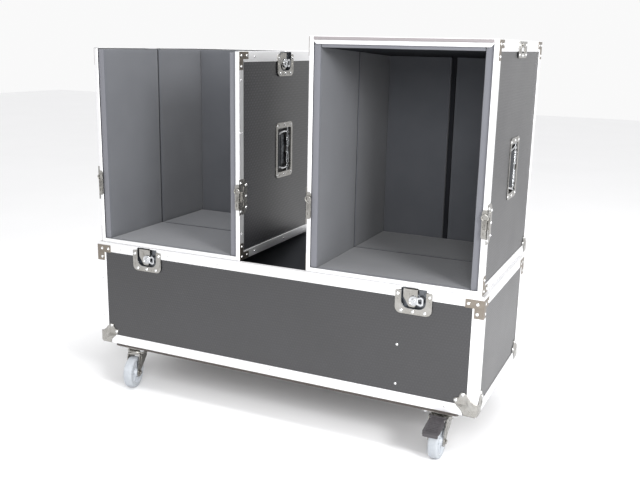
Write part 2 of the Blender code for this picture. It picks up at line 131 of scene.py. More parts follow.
for degrees in (30, 90, 150):
    heading = (math.cos(math.radians(degrees)) * turns_per_metre, math.sin(math.radians(degrees)) * turns_per_metre,
               0)
    along = add_node(laminate, "ShaderNodeVectorMath", {"operation": "DOT_PRODUCT", 1: heading},
                     {0: flat_place.outputs[0]})
    wave = add_node(laminate, "ShaderNodeMath", {"operation": "COSINE"}, {0: along.outputs["Value"]})
    if waves:
        wave = add_node(laminate, "ShaderNodeMath", {"operation": "ADD"}, {0: waves.outputs[0], 1: wave.outputs[0]})
    waves = wave
pimples = add_node(laminate, "ShaderNodeMapRange", {"From Min": -1.5, "From Max": 3.0}, {"Value": waves.outputs[0]})
shade = add_node(laminate, "ShaderNodeMapRange", {"To Min": 0.8, "To Max": 1.3}, {"Value": pimples.outputs[0]})
tone = add_node(laminate, "ShaderNodeVectorMath", {"operation": "SCALE"},
                {0: cloud_tint.outputs[2], "Scale": shade.outputs[0]})
laminate.node_tree.links.new(tone.outputs[0], shader.inputs["Base Color"])
bump_finish(laminate, shader, pimples.outputs[0], 0.5 * MM, 0.8)

# Film-faced board under the tray: thin brown-black phenolic film, matt, with faint fibres along its length.
board, shader = new_finish("film_faced_board", {"Roughness": 0.6})
place = add_node(board, "ShaderNodeTexCoord")
fibres = add_node(board, "ShaderNodeMapping", {"Scale": (30, 700, 700)}, {"Vector": place.outputs["Object"]})
cloud_finish(board, shader, fibres.outputs[0], 1.0, ("37302d", "4d4643"), (0.5, 0.7))
grain = add_node(board, "ShaderNodeTexNoise", {"Scale": 2.0}, {"Vector": fibres.outputs[0]})
bump_finish(board, shader, grain.outputs[0], 0.2 * MM, 0.5)

for name in ("tray_shell", "tray_divider", "hood_left_shell", "hood_right_shell"):
    for material_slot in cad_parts[name].material_slots:
        material_slot.material = laminate
for material_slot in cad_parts["base_board"].material_slots:
    material_slot.material = board

# ------------------------------------------------------------------ aluminium extrusions of the tray
# Two millimetre anodised angle along the bottom and upright edges, mitred at the corners and riveted to the panels.
# The rim is a U extrusion with a groove in its top that takes the hoods' rim. Latches are let into it.

# Anodised aluminium: drawn and satin etched, so fine streaks run along each length. It is nearly white in soft light.
aluminium, shader = new_finish("anodised_aluminium_satin", {"Metallic": 1.0})
run = add_node(aluminium, "ShaderNodeUVMap", {"uv_map": "run"})
streaks = add_node(aluminium, "ShaderNodeMapping", {"Scale": (12, 1600, 1)}, {"Vector": run.outputs["UV"]})
cloud_finish(aluminium, shader, streaks.outputs[0], 1.0, ("ebebec", "fbfbfc"), (0.44, 0.58))
drawn = add_node(aluminium, "ShaderNodeTexNoise", {"Scale": 1.0, "Detail": 3.0}, {"Vector": streaks.outputs[0]})
bump_finish(aluminium, shader, drawn.outputs[0], 0.05 * MM, 0.4)


def add_piece(name, bm, material, body, stands_for=(), bevel=0.0, smooth_angle=35):
    """Turns a built mesh into a piece that rides on a body, with its arrises softened."""
    bmesh.ops.recalc_face_normals(bm, faces=bm.faces)
    mesh = bpy.data.meshes.new(name)
    bm.to_mesh(mesh)
    bm.free()
    for one in material if isinstance(material, (list, tuple)) else [material]:
        mesh.materials.append(one)
    mesh.shade_smooth()
    mesh.set_sharp_from_angle(angle=math.radians(smooth_angle))
    piece = bpy.data.objects.new(name, mesh)
    bpy.context.scene.collection.objects.link(piece)
    if bevel:
        softened = piece.modifiers.new("softened arrises", "BEVEL")
        softened.width = bevel
        softened.segments = 2
        softened.limit_method = "ANGLE"
        softened.angle_limit = math.radians(40)
        softened.harden_normals = True
    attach(piece, body)
    if stands_for:
        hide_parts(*stands_for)
    return piece


ANGLE_THICKNESS = 2 * MM
MITRE_GAP = 0.12 * MM


def angle_profile(leg_a, leg_b, thickness=ANGLE_THICKNESS, proud=0.0, groove=False):
    """Section of an angle from its outer arris, with a rounded arris, rounded tips and sunk lines on its legs."""
    tip = 0.45 * thickness
    arris = 0.9 * thickness
    points = [(leg_a - tip, 0), (leg_a, tip), (leg_a, thickness), (thickness, thickness), (thickness, leg_b),
              (tip, leg_b), (0, leg_b - tip)]
    if groove:
        points += [(0, leg_b - 6.4 * MM), (0.5 * MM, leg_b - 6.8 * MM), (0.5 * MM, leg_b - 7.6 * MM),
                   (0, leg_b - 8 * MM)]
    for step in range(5):
        turn = math.radians(180 + 22.5 * step)
        points.append((arris + arris * math.cos(turn), arris + arris * math.sin(turn)))
    if groove:
        points += [(leg_a - 8 * MM, 0), (leg_a - 7.6 * MM, 0.5 * MM), (leg_a - 6.8 * MM, 0.5 * MM),
                   (leg_a - 6.4 * MM, 0)]
    return [(a - proud, b - proud) for a, b in points]


def mitre(a, b):
    return max(a, b) + MITRE_GAP


def square_cut(a, b):
    return 0.0


def add_bar(bm, start, end, inward_a, inward_b, profile, cut_start=mitre, cut_end=mitre):
    """A straight extrusion along an outer edge. A cut gives how far each point of the section is cut back."""
    layer = bm.loops.layers.uv.get("run") or bm.loops.layers.uv.new("run")
    start, end = Vector(start), Vector(end)
    direction = (end - start).normalized()
    girth = [0.0]
    for i, here in enumerate(profile):
        girth.append(girth[-1] + (Vector(profile[(i + 1) % len(profile)]) - Vector(here)).length)
    rings = []
    for origin, cut, sign in ((start, cut_start, 1), (end, cut_end, -1)):
        rings.append([bm.verts.new(origin + a * inward_a + b * inward_b + sign * cut(a, b) * direction)
                      for a, b in profile])
    offset = 0.173 * len(bm.faces)
    for i in range(len(profile)):
        j = (i + 1) % len(profile)
        face = bm.faces.new((rings[0][i], rings[0][j], rings[1][j], rings[1][i]))
        for loop, v in zip(face.loops, (girth[i], girth[i + 1], girth[i + 1], girth[i])):
            loop[layer].uv = ((loop.vert.co - start).dot(direction) + offset, v)
    for ring in rings:
        face = bm.faces.new(ring)
        for loop in face.loops:
            loop[layer].uv = (loop.vert.co.dot(inward_a) + offset, loop.vert.co.dot(inward_b))


AXES = (Vector((1, 0, 0)), Vector((0, 1, 0)), Vector((0, 0, 1)))


def add_edge_bar(bm, low, high, axis, sides, profile, cut_start=mitre, cut_end=mitre, part=None):
    """An extrusion along one edge of a box. The sides say which edge, for the two other axes in order."""
    first, second = [i for i in range(3) if i != axis]
    corner = [0, 0, 0]
    corner[first] = high[first] if sides[0] > 0 else low[first]
    corner[second] = high[second] if sides[1] > 0 else low[second]
    span = part or (low[axis], high[axis])
    start, end = corner[:], corner[:]
    start[axis], end[axis] = span
    add_bar(bm, start, end, -sides[0] * AXES[first], -sides[1] * AXES[second], profile, cut_start, cut_end)


SIDES = (-1, 1)
TRAY_LEG = 30 * MM
rim_low, rim_high = (Vector(corner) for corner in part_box("tray_rim_frame"))
board_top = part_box("base_board")[1][2]
tray_low = Vector((rim_low.x, rim_low.y, board_top + 0.3 * MM))
tray_high = rim_high.copy()

edges = bmesh.new()
post_high = Vector((tray_high.x, tray_high.y, rim_low.z - 0.3 * MM))
tray_angle = angle_profile(TRAY_LEG, TRAY_LEG, groove=True)
for first in SIDES:
    add_edge_bar(edges, tray_low, tray_high, 0, (first, -1), tray_angle)
    add_edge_bar(edges, tray_low, tray_high, 1, (first, -1), tray_angle)
    for second in SIDES:
        add_edge_bar(edges, tray_low, post_high, 2, (first, second), tray_angle, mitre, square_cut)
add_piece("tray_edge_angles", edges, aluminium, "tray", ["tray_edge_frame"])

# Section of the rim: outer leg, cap with its groove, inner leg. The first number goes inwards, the second down.
rim_profile = [(x * MM, z * MM) for x, z in (
    (0, 29), (0.8, 30), (2, 30), (2, 2.5), (12, 2.5), (12, 14), (14, 14), (14, 1), (13, 0), (9.6, 0), (9.1, 1.5),
    (5.2, 1.5), (4.7, 0), (1.6, 0), (0.5, 0.5), (0, 1.6))]
# Over a latch the outer leg is cut back above the dish's ears and its middle, and the cap is slotted for the hook.
rim_ear = rim_profile[:]
rim_ear[0:3] = [(0, 8.8 * MM), (0.8 * MM, 9.6 * MM), (2 * MM, 9.6 * MM)]
rim_low_lip = [(0, 2.2 * MM), (0.6 * MM, 2.9 * MM), (2 * MM, 2.9 * MM), *rim_profile[3:]]
rim_slot = [(x * MM, z * MM) for x, z in (
    (5.4, 1.5), (5.4, 2.5), (12, 2.5), (12, 14), (14, 14), (14, 1), (13, 0), (9.6, 0), (9.1, 1.5))]
latch_xs = [sum(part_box(f"latch_front_{side}_dish")[i][0] for i in (0, 1)) / 2 for side in ("left", "right")]


def rim_mitre(a, b):
    return a + MITRE_GAP


def latch_parts(centre, sign):
    """Where the notch for a latch starts and ends along a rim, with the kind of section left standing."""
    marks = ((-42.6, -35.8, "ear"), (-35.8, -32, "lip"), (-32, 12, "slot"), (12, 35.8, "lip"), (35.8, 42.6, "ear"))
    parts = [(centre + sign * a * MM, centre + sign * b * MM, kind) for a, b, kind in marks]
    return sorted((min(a, b), max(a, b), kind) for a, b, kind in parts)


rim = bmesh.new()
rim_sections = {"full": rim_profile, "ear": rim_ear, "lip": rim_low_lip, "slot": rim_slot}
for side in SIDES:
    notches = [part for centre in latch_xs for part in latch_parts(centre, -side)]
    parts = []
    here = rim_low.x
    for start, end, kind in notches:
        if start - here > MM:
            parts.append((here, start, "full"))
        parts.append((start, end, kind))
        here = end
    parts.append((here, rim_high.x, "full"))
    for i, (start, end, kind) in enumerate(parts):
        add_edge_bar(rim, rim_low, rim_high, 0, (side, 1), rim_sections[kind], rim_mitre if i == 0 else square_cut,
                     rim_mitre if i == len(parts) - 1 else square_cut, (start, end))
    add_edge_bar(rim, rim_low, rim_high, 1, (side, 1), rim_profile, rim_mitre, rim_mitre)
add_piece("tray_rim_extrusion", rim, aluminium, "tray", ["tray_rim_frame"])

# ------------------------------------------------------------------ aluminium extrusions of the hoods
# Lighter angle than the tray's, with a narrow face round the opening and a 30 mm band at the end where the hoods
# meet. The left hood's end is open, so its band has a rim. The right hood's closed end has a stepped front bar.

HOOD_LEG = 26 * MM
RIM_FACE = 12.5 * MM
BAND = 30 * MM
STEP_FACE = 20.5 * MM
STEP = 9.5 * MM
PANEL_INSET = 2.3 * MM
JOINT_HALF_GAP = 42.6 * MM


def over_band(a, b):
    return max(b, ANGLE_THICKNESS + 0.2 * MM)


def open_end(a, b):
    return max(b, 0.0)


# The front bar of the closed end: a sunk strip along the top, then a lip that stands proud over the foam.
step_profile = [(HOOD_LEG, 0), (HOOD_LEG, ANGLE_THICKNESS), (3.2 * MM, ANGLE_THICKNESS),
                (3.2 * MM, STEP_FACE - 1 * MM), (2.2 * MM, STEP_FACE), (0.6 * MM, STEP_FACE),
                (0, STEP_FACE - 0.6 * MM), (0, STEP + 0.8 * MM), (1.6 * MM, STEP), (1.0 * MM, 1.2 * MM),
                (1.5 * MM, 0.3 * MM), (2.4 * MM, 0)]

# What is left of the open end's band over a latch.
band_sections = {"ear": angle_profile(RIM_FACE, 9.6 * MM), "lip": angle_profile(RIM_FACE, 2.9 * MM),
                 "slot": [(a * MM, b * MM) for a, b in ((5.4, 0), (12, 0), (12.5, 0.6), (12.5, 2), (5.4, 2))]}

hoods = {}
for hood, closed in (("hood_left", False), ("hood_right", True)):
    shell_low, shell_high = (Vector(corner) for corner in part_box(f"{hood}_shell"))
    inset = Vector((PANEL_INSET, PANEL_INSET, PANEL_INSET))
    low, high = shell_low - inset, shell_high + inset
    middle_y = (low.y + high.y) / 2
    hoods[hood] = (low, high, middle_y)
    bars = bmesh.new()
    narrow_side = angle_profile(RIM_FACE, HOOD_LEG)
    wide = angle_profile(HOOD_LEG, HOOD_LEG)
    for side in SIDES:
        post_top = mitre if closed else over_band
        add_edge_bar(bars, low, high, 2, (side, -1), narrow_side, mitre, post_top)
        add_edge_bar(bars, low, high, 2, (side, 1), wide, mitre, mitre)
        add_edge_bar(bars, low, high, 1, (side, -1), wide)
        if closed:
            add_edge_bar(bars, low, high, 1, (side, 1), angle_profile(HOOD_LEG, BAND))
        else:
            band_profile = angle_profile(RIM_FACE, BAND)
            add_edge_bar(bars, low, high, 1, (side, 1), band_profile, open_end, square_cut,
                         (low.y, middle_y - JOINT_HALF_GAP))
            add_edge_bar(bars, low, high, 1, (side, 1), band_profile, square_cut, mitre,
                         (middle_y + JOINT_HALF_GAP, high.y))
            for start, end, kind in latch_parts(middle_y, side):
                add_edge_bar(bars, low, high, 1, (side, 1), band_sections[kind], square_cut, square_cut, (start, end))
    add_edge_bar(bars, low, high, 0, (-1, -1), angle_profile(HOOD_LEG, RIM_FACE))
    add_edge_bar(bars, low, high, 0, (1, -1), wide)
    add_edge_bar(bars, low, high, 0, (1, 1), angle_profile(HOOD_LEG if closed else RIM_FACE, BAND))
    if closed:
        add_edge_bar(bars, low, high, 0, (-1, 1), step_profile)
    add_piece(f"{hood}_edge_angles", bars, aluminium, hood, [f"{hood}_frame"])

# A thin grey insert fills the sunk strip of the closed end's front bar and gives the strip its grey,
# with faint lines 1.5 mm apart running along it.
grey_strip_insert, shader = new_finish("grey_sunk_strip_insert", {"Specular IOR Level": 0.4})
place = add_node(grey_strip_insert, "ShaderNodeTexCoord")
strip_lines = add_node(grey_strip_insert, "ShaderNodeMapping", {"Scale": (15, 15, 670)}, {"Vector": place.outputs["Object"]})
cloud_finish(grey_strip_insert, shader, strip_lines.outputs[0], 1.0, ("7b7577", "959092"), (0.5, 0.65))
strip_line_noise = add_node(grey_strip_insert, "ShaderNodeTexNoise", {"Scale": 2.0}, {"Vector": strip_lines.outputs[0]})
bump_finish(grey_strip_insert, shader, strip_line_noise.outputs[0], 0.1 * MM, 0.4)
low, high, middle_y = hoods["hood_right"]
strip = bmesh.new()
bmesh.ops.create_cube(strip, size=1, matrix=Matrix.LocRotScale(
    ((low.x + high.x) / 2, low.y + 0.8 * MM, high.z - 5.4 * MM), None,
    (high.x - low.x - 2 * RIM_FACE, 1.4 * MM, STEP - 1.6 * MM)))
add_piece("hood_right_sunk_strip_insert", strip, grey_strip_insert, "hood_right", bevel=0.3 * MM)

# ------------------------------------------------------------------ rivets
# Domed steel blind rivets with the stub of the pulled mandrel in the middle. They hold the angles, the corner
# braces and every latch, handle and catch. One mesh for each body and group, set along the parts they fasten.

# Bright zinc on steel: small domes with a hard highlight and a slightly grey root.
rivet_steel = plain_finish("rivet_bright_zinc", {"Metallic": 1.0}, 300.0, ("d9dadb", "f6f6f6"), (0.16, 0.3))


def new_tree(name, inputs):
    """A Geometry Nodes tree with a geometry in and out, its number inputs and a finish."""
    tree = bpy.data.node_groups.new(name, "GeometryNodeTree")
    tree.interface.new_socket("Geometry", in_out="INPUT", socket_type="NodeSocketGeometry")
    for socket in inputs:
        tree.interface.new_socket(socket, in_out="INPUT", socket_type="NodeSocketFloat")
    tree.interface.new_socket("Finish", in_out="INPUT", socket_type="NodeSocketMaterial")
    tree.interface.new_socket("Geometry", in_out="OUTPUT", socket_type="NodeSocketGeometry")
    return tree, add_node(tree, "NodeGroupInput")


def join_shapes(tree, first, second):
    both = add_node(tree, "GeometryNodeJoinGeometry", {}, {0: first.outputs[0]})
    tree.links.new(second.outputs[0], both.inputs[0])
    return both


def copy_to_points(tree, given, shape, turn=None, smooth=True):
    """Ends a tree: the shape on every given point, in the given finish."""
    links = {"Points": given.outputs["Geometry"], "Instance": shape.outputs[0]}
    if turn:
        links["Rotation"] = turn.outputs[0]
    spread = add_node(tree, "GeometryNodeInstanceOnPoints", {}, links)
    made = add_node(tree, "GeometryNodeRealizeInstances", {}, {0: spread.outputs[0]})
    if smooth:
        made = add_node(tree, "GeometryNodeSetShadeSmooth", {}, {0: made.outputs[0]})
    paint = add_node(tree, "GeometryNodeSetMaterial", {}, {"Geometry": made.outputs[0],
                                                           "Material": given.outputs["Finish"]})
    add_node(tree, "NodeGroupOutput", {}, {0: paint.outputs[0]})


def rivet_tree():
    """Sets a domed head on every point, standing along the point's own facing."""
    tree, given = new_tree("rivet_heads", ("Head radius", "Head height"))
    radius, height = given.outputs["Head radius"], given.outputs["Head height"]
    dome = add_node(tree, "GeometryNodeMeshUVSphere", {"Segments": 10, "Rings": 6, "Radius": 1.0})
    shape = add_node(tree, "ShaderNodeCombineXYZ", {}, {"X": radius, "Y": radius, "Z": height})
    sized = add_node(tree, "GeometryNodeTransform", {}, {"Geometry": dome.outputs[0], "Scale": shape.outputs[0]})
    stub = add_node(tree, "GeometryNodeMeshCylinder", {"Vertices": 8, "Radius": 1.1 * MM, "Depth": 1.0 * MM})
    lift = add_node(tree, "ShaderNodeCombineXYZ", {}, {"Z": height})
    raised = add_node(tree, "GeometryNodeTransform", {}, {"Geometry": stub.outputs[0],
                                                          "Translation": lift.outputs[0]})
    facing = add_node(tree, "GeometryNodeInputNamedAttribute", {"data_type": "FLOAT_VECTOR", "Name": "facing"})
    turn = add_node(tree, "FunctionNodeAlignRotationToVector", {"axis": "Z"}, {"Vector": facing.outputs["Attribute"]})
    copy_to_points(tree, given, join_shapes(tree, sized, raised), turn)
    return tree


RIVETS = rivet_tree()


def bake_tree(name, mesh, tree, values, body, stands_for=()):
    """Runs a geometry tree on a mesh and keeps the result as a plain piece on a body."""
    source = bpy.data.objects.new(f"{name}_points", mesh)
    bpy.context.scene.collection.objects.link(source)
    modifier = source.modifiers.new("made", "NODES")
    modifier.node_group = tree
    for item in tree.interface.items_tree:
        if item.in_out == "INPUT" and item.name in values:
            modifier[item.identifier] = values[item.name]
    source.update_tag()
    graph = bpy.context.evaluated_depsgraph_get()
    baked = bpy.data.meshes.new_from_object(source.evaluated_get(graph))
    baked.name = name
    bpy.data.objects.remove(source, do_unlink=True)
    piece = bpy.data.objects.new(name, baked)
    bpy.context.scene.collection.objects.link(piece)
    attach(piece, body)
    if stands_for:
        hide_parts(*stands_for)
    return piece


def add_rivets(name, places, body, radius=4.6 * MM, height=1.9 * MM):
    """Rivets at (point, facing) pairs."""
    mesh = bpy.data.meshes.new(f"{name}_points")
    mesh.from_pydata([tuple(point) for point, facing in places], [], [])
    layer = mesh.attributes.new("facing", "FLOAT_VECTOR", "POINT")
    for i, (point, facing) in enumerate(places):
        layer.data[i].vector = facing
    values = {"Head radius": radius, "Head height": height, "Finish": rivet_steel}
    return bake_tree(name, mesh, RIVETS, values, body)


def spaced(low, high, margin, pitch):
    """Even stations between two ends, a margin in from each."""
    count = max(1, round((high - low - 2 * margin) / pitch))
    return [low + margin + (high - low - 2 * margin) * i / count for i in range(count + 1)]


RIVET_PITCH = 165 * MM
rows = []
for side in SIDES:
    y = tray_high.y * side
    for x in spaced(tray_low.x, tray_high.x, 90 * MM, RIVET_PITCH):
        rows.append(((x, y, tray_low.z + 17 * MM), (0, side, 0)))
        if all(abs(x - latch_x) > 60 * MM for latch_x in latch_xs):
            rows.append(((x, y, rim_high.z - 20 * MM), (0, side, 0)))
    for z in spaced(tray_low.z, rim_low.z, 90 * MM, 110 * MM):
        for end in SIDES:
            rows.append(((tray_high.x * end, (tray_high.y - 15 * MM) * side, z), (end, 0, 0)))
            rows.append((((tray_high.x - 15 * MM) * end, y, z), (0, side, 0)))
    for y_side in spaced(tray_low.y, tray_high.y, 85 * MM, RIVET_PITCH):
        rows.append(((tray_high.x * side, y_side, tray_low.z + 17 * MM), (side, 0, 0)))
        rows.append(((tray_high.x * side, y_side, rim_high.z - 20 * MM), (side, 0, 0)))
divider_low, divider_high = (Vector(corner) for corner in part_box("tray_divider"))
divider_x = (divider_low.x + divider_high.x) / 2
panel_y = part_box("tray_shell")[1][1]
for side in SIDES:
    for z in (divider_low.z + 41 * MM, divider_high.z - 132 * MM):
        rows.append(((divider_x, panel_y * side, z), (0, side, 0)))
add_rivets("tray_rivets", rows, "tray", 4.2 * MM, 1.5 * MM)

for hood, (low, high, middle_y) in hoods.items():
    rows = []
    for side, x in ((-1, low.x), (1, high.x)):
        for y in spaced(low.y, high.y, 90 * MM, RIVET_PITCH):
            rows.append(((x, y, low.z + 13 * MM), (side, 0, 0)))
            if abs(y - middle_y) > 70 * MM:
                rows.append(((x, y, high.z - 15 * MM), (side, 0, 0)))
        for z in spaced(low.z, high.z, 80 * MM, RIVET_PITCH):
            rows.append(((x, high.y - 13 * MM, z), (side, 0, 0)))
            rows.append(((x - side * 13 * MM, high.y, z), (0, 1, 0)))
            if abs(z - low.z - 190 * MM) > 60 * MM:
                rows.append(((x, low.y + 13 * MM, z), (side, 0, 0)))
    for x in spaced(low.x, high.x, 90 * MM, RIVET_PITCH):
        rows.append(((x, high.y, low.z + 13 * MM), (0, 1, 0)))
        rows.append(((x, high.y, high.z - 15 * MM), (0, 1, 0)))
    add_rivets(f"{hood}_rivets", rows, hood, 4.0 * MM, 1.4 * MM)

# ------------------------------------------------------------------ corner braces
# Flat zinc-plated steel braces folded round the upright edges: an L of two bands, three rivets on each face. They
# tie the rim to the uprights on the tray and the angles to each other at the corners of the hoods' openings.

# Dulled zinc plate: darker and browner than the latches, with soft patches from handling.
brace_steel = plain_finish("brace_dull_zinc_plate", {"Metallic": 1.0}, 90.0, ("776f66", "968f86"), (0.34, 0.5),
                           ("ShaderNodeTexNoise", {"Scale": 600.0, "Detail": 2.0}, 0.06 * MM, 0.4))

BRACE_THICKNESS = 1.3 * MM
BRACE_REACH = 51 * MM
BRACE_WIDTH = 24 * MM
BRACE_DROP = 8 * MM


def add_brace(bm, rivets, corner, sides, down, drop=BRACE_DROP, reach=BRACE_REACH, width=BRACE_WIDTH):
    """A brace on the edge through a corner: a wide band near the rim and a narrow one that runs along the post."""
    levels = (drop, drop + width, drop + reach)
    for band, leg in ((0, reach), (1, width + 2 * MM)):
        profile = angle_profile(leg, leg, BRACE_THICKNESS, BRACE_THICKNESS)
        start = Vector(corner) + Vector((0, 0, down * levels[band]))
        end = Vector(corner) + Vector((0, 0, down * levels[band + 1]))
        add_bar(bm, start, end, Vector((-sides[0], 0, 0)), Vector((0, -sides[1], 0)), profile, square_cut, square_cut)
    for inward, level in ((16.5, drop + 0.5 * width), (41, drop + 0.5 * width), (16.5, drop + reach - 12 * MM)):
        z = corner[2] + down * level
        reach_in = inward * MM
        rivets.append(((corner[0] - sides[0] * reach_in, corner[1] + sides[1] * BRACE_THICKNESS, z),
                       (0, sides[1], 0)))
        rivets.append(((corner[0] + sides[0] * BRACE_THICKNESS, corner[1] - sides[1] * reach_in, z),
                       (sides[0], 0, 0)))


braces = bmesh.new()
brace_rivets = []
for x in SIDES:
    for y in SIDES:
        add_brace(braces, brace_rivets, (tray_high.x * x, tray_high.y * y, rim_high.z), (x, y), -1)
add_piece("tray_rim_braces", braces, brace_steel, "tray", bevel=0.4 * MM)
add_rivets("tray_brace_rivets", brace_rivets, "tray", 4.8 * MM, 1.1 * MM)


def add_side_brace(bm, rivets, x, side, y, z, toward_y, toward_z):
    """A flat L on a hood's side face at one corner of the opening."""
    outline = [(1.5, 1.5), (52, 1.5), (52, 22), (24, 22), (22, 24), (22, 52), (1.5, 52)]
    points = [(y + toward_y * a * MM, z + toward_z * b * MM) for a, b in outline]
    rings = [[bm.verts.new((x + side * depth, py, pz)) for py, pz in points] for depth in (0.1 * MM, 1.4 * MM)]
    for ring in rings:
        bm.faces.new(ring)
    for i in range(len(points)):
        j = (i + 1) % len(points)
        bm.faces.new((rings[0][i], rings[0][j], rings[1][j], rings[1][i]))
    for a, b in ((12, 12), (42, 12), (12, 42)):
        rivets.append(((x + side * 1.4 * MM, y + toward_y * a * MM, z + toward_z * b * MM), (side, 0, 0)))


for hood, (low, high, middle_y) in hoods.items():
    braces = bmesh.new()
    brace_rivets = []
    for side, x in ((-1, low.x), (1, high.x)):
        add_side_brace(braces, brace_rivets, x, side, low.y, low.z, 1, 1)
        add_side_brace(braces, brace_rivets, x, side, low.y, high.z, 1, -1)
        add_side_brace(braces, brace_rivets, x, side, high.y, high.z, -1, -1)
    add_piece(f"{hood}_corner_braces", braces, brace_steel, hood, bevel=0.4 * MM)
    add_rivets(f"{hood}_brace_rivets", brace_rivets, hood, 4.4 * MM, 2.0 * MM)

# ------------------------------------------------------------------ ball corners
# Deep-drawn zinc-plated steel caps over the corners that meet the floor when the box is set down. Each has a rounded
# body and, on every face, a leaf that steps down onto the panel and takes two rivets in its lobes.

# Bright zinc plate: pressed sheet, pale grey with a soft spangle and slightly uneven gloss.
zinc_plate = plain_finish("bright_zinc_plate", {"Metallic": 1.0}, 60.0, ("85827c", "b3b2af"), (0.2, 0.36),
                          ("ShaderNodeTexVoronoi", {"Scale": 220.0}, 0.06 * MM, 0.3))

LEAF_OUTLINE = ((0, 40), (10, 41), (18, 45), (24, 55), (28, 71), (31, 79), (35, 82), (39, 80), (43, 76), (45, 75))


def leaf_radius(degrees):
    degrees = degrees if degrees <= 45 else 90 - degrees
    for (angle_a, radius_a), (angle_b, radius_b) in zip(LEAF_OUTLINE, LEAF_OUTLINE[1:]):
        if degrees <= angle_b:
            return (radius_a + (radius_b - radius_a) * (degrees - angle_a) / (angle_b - angle_a)) * MM
    return LEAF_OUTLINE[-1][1] * MM


def add_ball_corner(bm, rivets, corner, sides, scale, legs, proud=2.0 * MM):
    """Three fans that share their edges, rounded off at the corner and stepped down past the angles' legs."""
    rounding = 7 * MM * scale
    angles = [0, 5, 10, 14, 18, 21, 24, 26, 28, 30, 31, 33, 35, 37, 39, 41, 43, 45]
    angles += [90 - angle for angle in reversed(angles[:-1])]
    steps = 12

    def place_point(q):
        inner = Vector([max(value, rounding) for value in q])
        gap = Vector(q) - inner
        shaped = inner + gap.normalized() * rounding if gap.length > 1e-9 else inner
        return Vector([corner[i] + sides[i] * (proud - shaped[i]) for i in range(3)])

    for face in range(3):
        first, second = [i for i in range(3) if i != face]
        grid = []
        for angle in angles:
            reach = leaf_radius(angle) * scale
            row = []
            for step in range(steps + 1):
                radius = reach * (step / steps) ** 0.85
                u = radius * math.cos(math.radians(angle))
                v = radius * math.sin(math.radians(angle))
                q = [0.0, 0.0, 0.0]
                q[first], q[second] = u, v
                point = place_point(q)
                over = min(max((min(u, v) - (legs - 3 * MM)) / (6 * MM), 0.0), 1.0)
                sink = over * over * (3 - 2 * over) * (proud + 0.5 * MM)
                rib = 0.0
                for middle in (32, 58):
                    rib += math.exp(-((angle - middle) / 5) ** 2) * min(max((radius - 12 * MM) / (6 * MM), 0), 1)
                ridge = rib * 0.9 * MM * (1 - over) * (1 if angle not in (0, 90) else 0)
                point[face] += sides[face] * (ridge - sink)
                row.append(bm.verts.new(point))
            grid.append(row)
        for i in range(len(angles) - 1):
            for j in range(steps):
                quad = [grid[i][j], grid[i][j + 1], grid[i + 1][j + 1], grid[i + 1][j]]
                bm.faces.new(quad if j else quad[:3])
        for angle in (34.5, 55.5):
            radius = 72 * MM * scale
            point = Vector(corner)
            point[first] -= sides[first] * radius * math.cos(math.radians(angle))
            point[second] -= sides[second] * radius * math.sin(math.radians(angle))
            point[face] -= sides[face] * 0.5 * MM
            facing = [0.0, 0.0, 0.0]
            facing[face] = sides[face]
            rivets.append((tuple(point), tuple(facing)))


def add_ball_corners(name, places, body, scale, legs):
    caps = bmesh.new()
    rivets = []
    for corner, sides in places:
        add_ball_corner(caps, rivets, corner, sides, scale, legs)
    bmesh.ops.remove_doubles(caps, verts=caps.verts, dist=0.02 * MM)
    bmesh.ops.dissolve_degenerate(caps, edges=caps.edges, dist=0.01 * MM)
    piece = add_piece(name, caps, zinc_plate, body, smooth_angle=50)
    sheet = piece.modifiers.new("sheet", "SOLIDIFY")
    sheet.thickness = 1.0 * MM
    sheet.offset = -1.0
    add_rivets(f"{name}_rivets", rivets, body, 5.2 * MM * scale, 2.4 * MM)


add_ball_corners("tray_ball_corners", [((tray_high.x * x, tray_high.y * y, tray_low.z), (x, y, -1))
                                       for x in SIDES for y in SIDES], "tray", 1.0, TRAY_LEG)
for hood, (low, high, middle_y) in hoods.items():
    add_ball_corners(f"{hood}_ball_corners", [((low.x, high.y, low.z), (-1, 1, -1)),
                                              ((high.x, high.y, low.z), (1, 1, -1))], hood, 0.8, HOOD_LEG)

# ------------------------------------------------------------------ recessed butterfly latches
# A pressed steel dish is riveted over the joint: its flange lies on the angle and its pan is let into the panel. A
# hook plate slides in the pan, driven by a turning key with a folding wing. All of it is bright zinc plate.

# The hollow of a pressed pan: the same zinc plate made darker and duller, painted shade and dark reflection for the
# recess.
pan_zinc_painted_shade = plain_finish("pan_zinc_with_painted_shade", {"Metallic": 1.0}, 80.0, ("4a4c50", "74777b"), (0.22, 0.4),
                        ("ShaderNodeTexNoise", {"Scale": 400.0}, 0.06 * MM, 0.4))

# Nickel-bright keys and wires: smoother than the pressings, with a crisp reflection.
bright_steel = plain_finish("bright_nickel_steel", {"Metallic": 1.0}, 120.0, ("a9acb0", "dadbdc"), (0.12, 0.24),
                            ("ShaderNodeTexNoise", {"Scale": 900.0}, 0.03 * MM, 0.3))


def mm_frame(origin, turn=0.0):
    """A frame in millimetres: x along the panel, y into it, z up."""
    return Matrix.Translation(origin) @ Matrix.Rotation(turn, 4, "Z") @ Matrix.Scale(MM, 4)


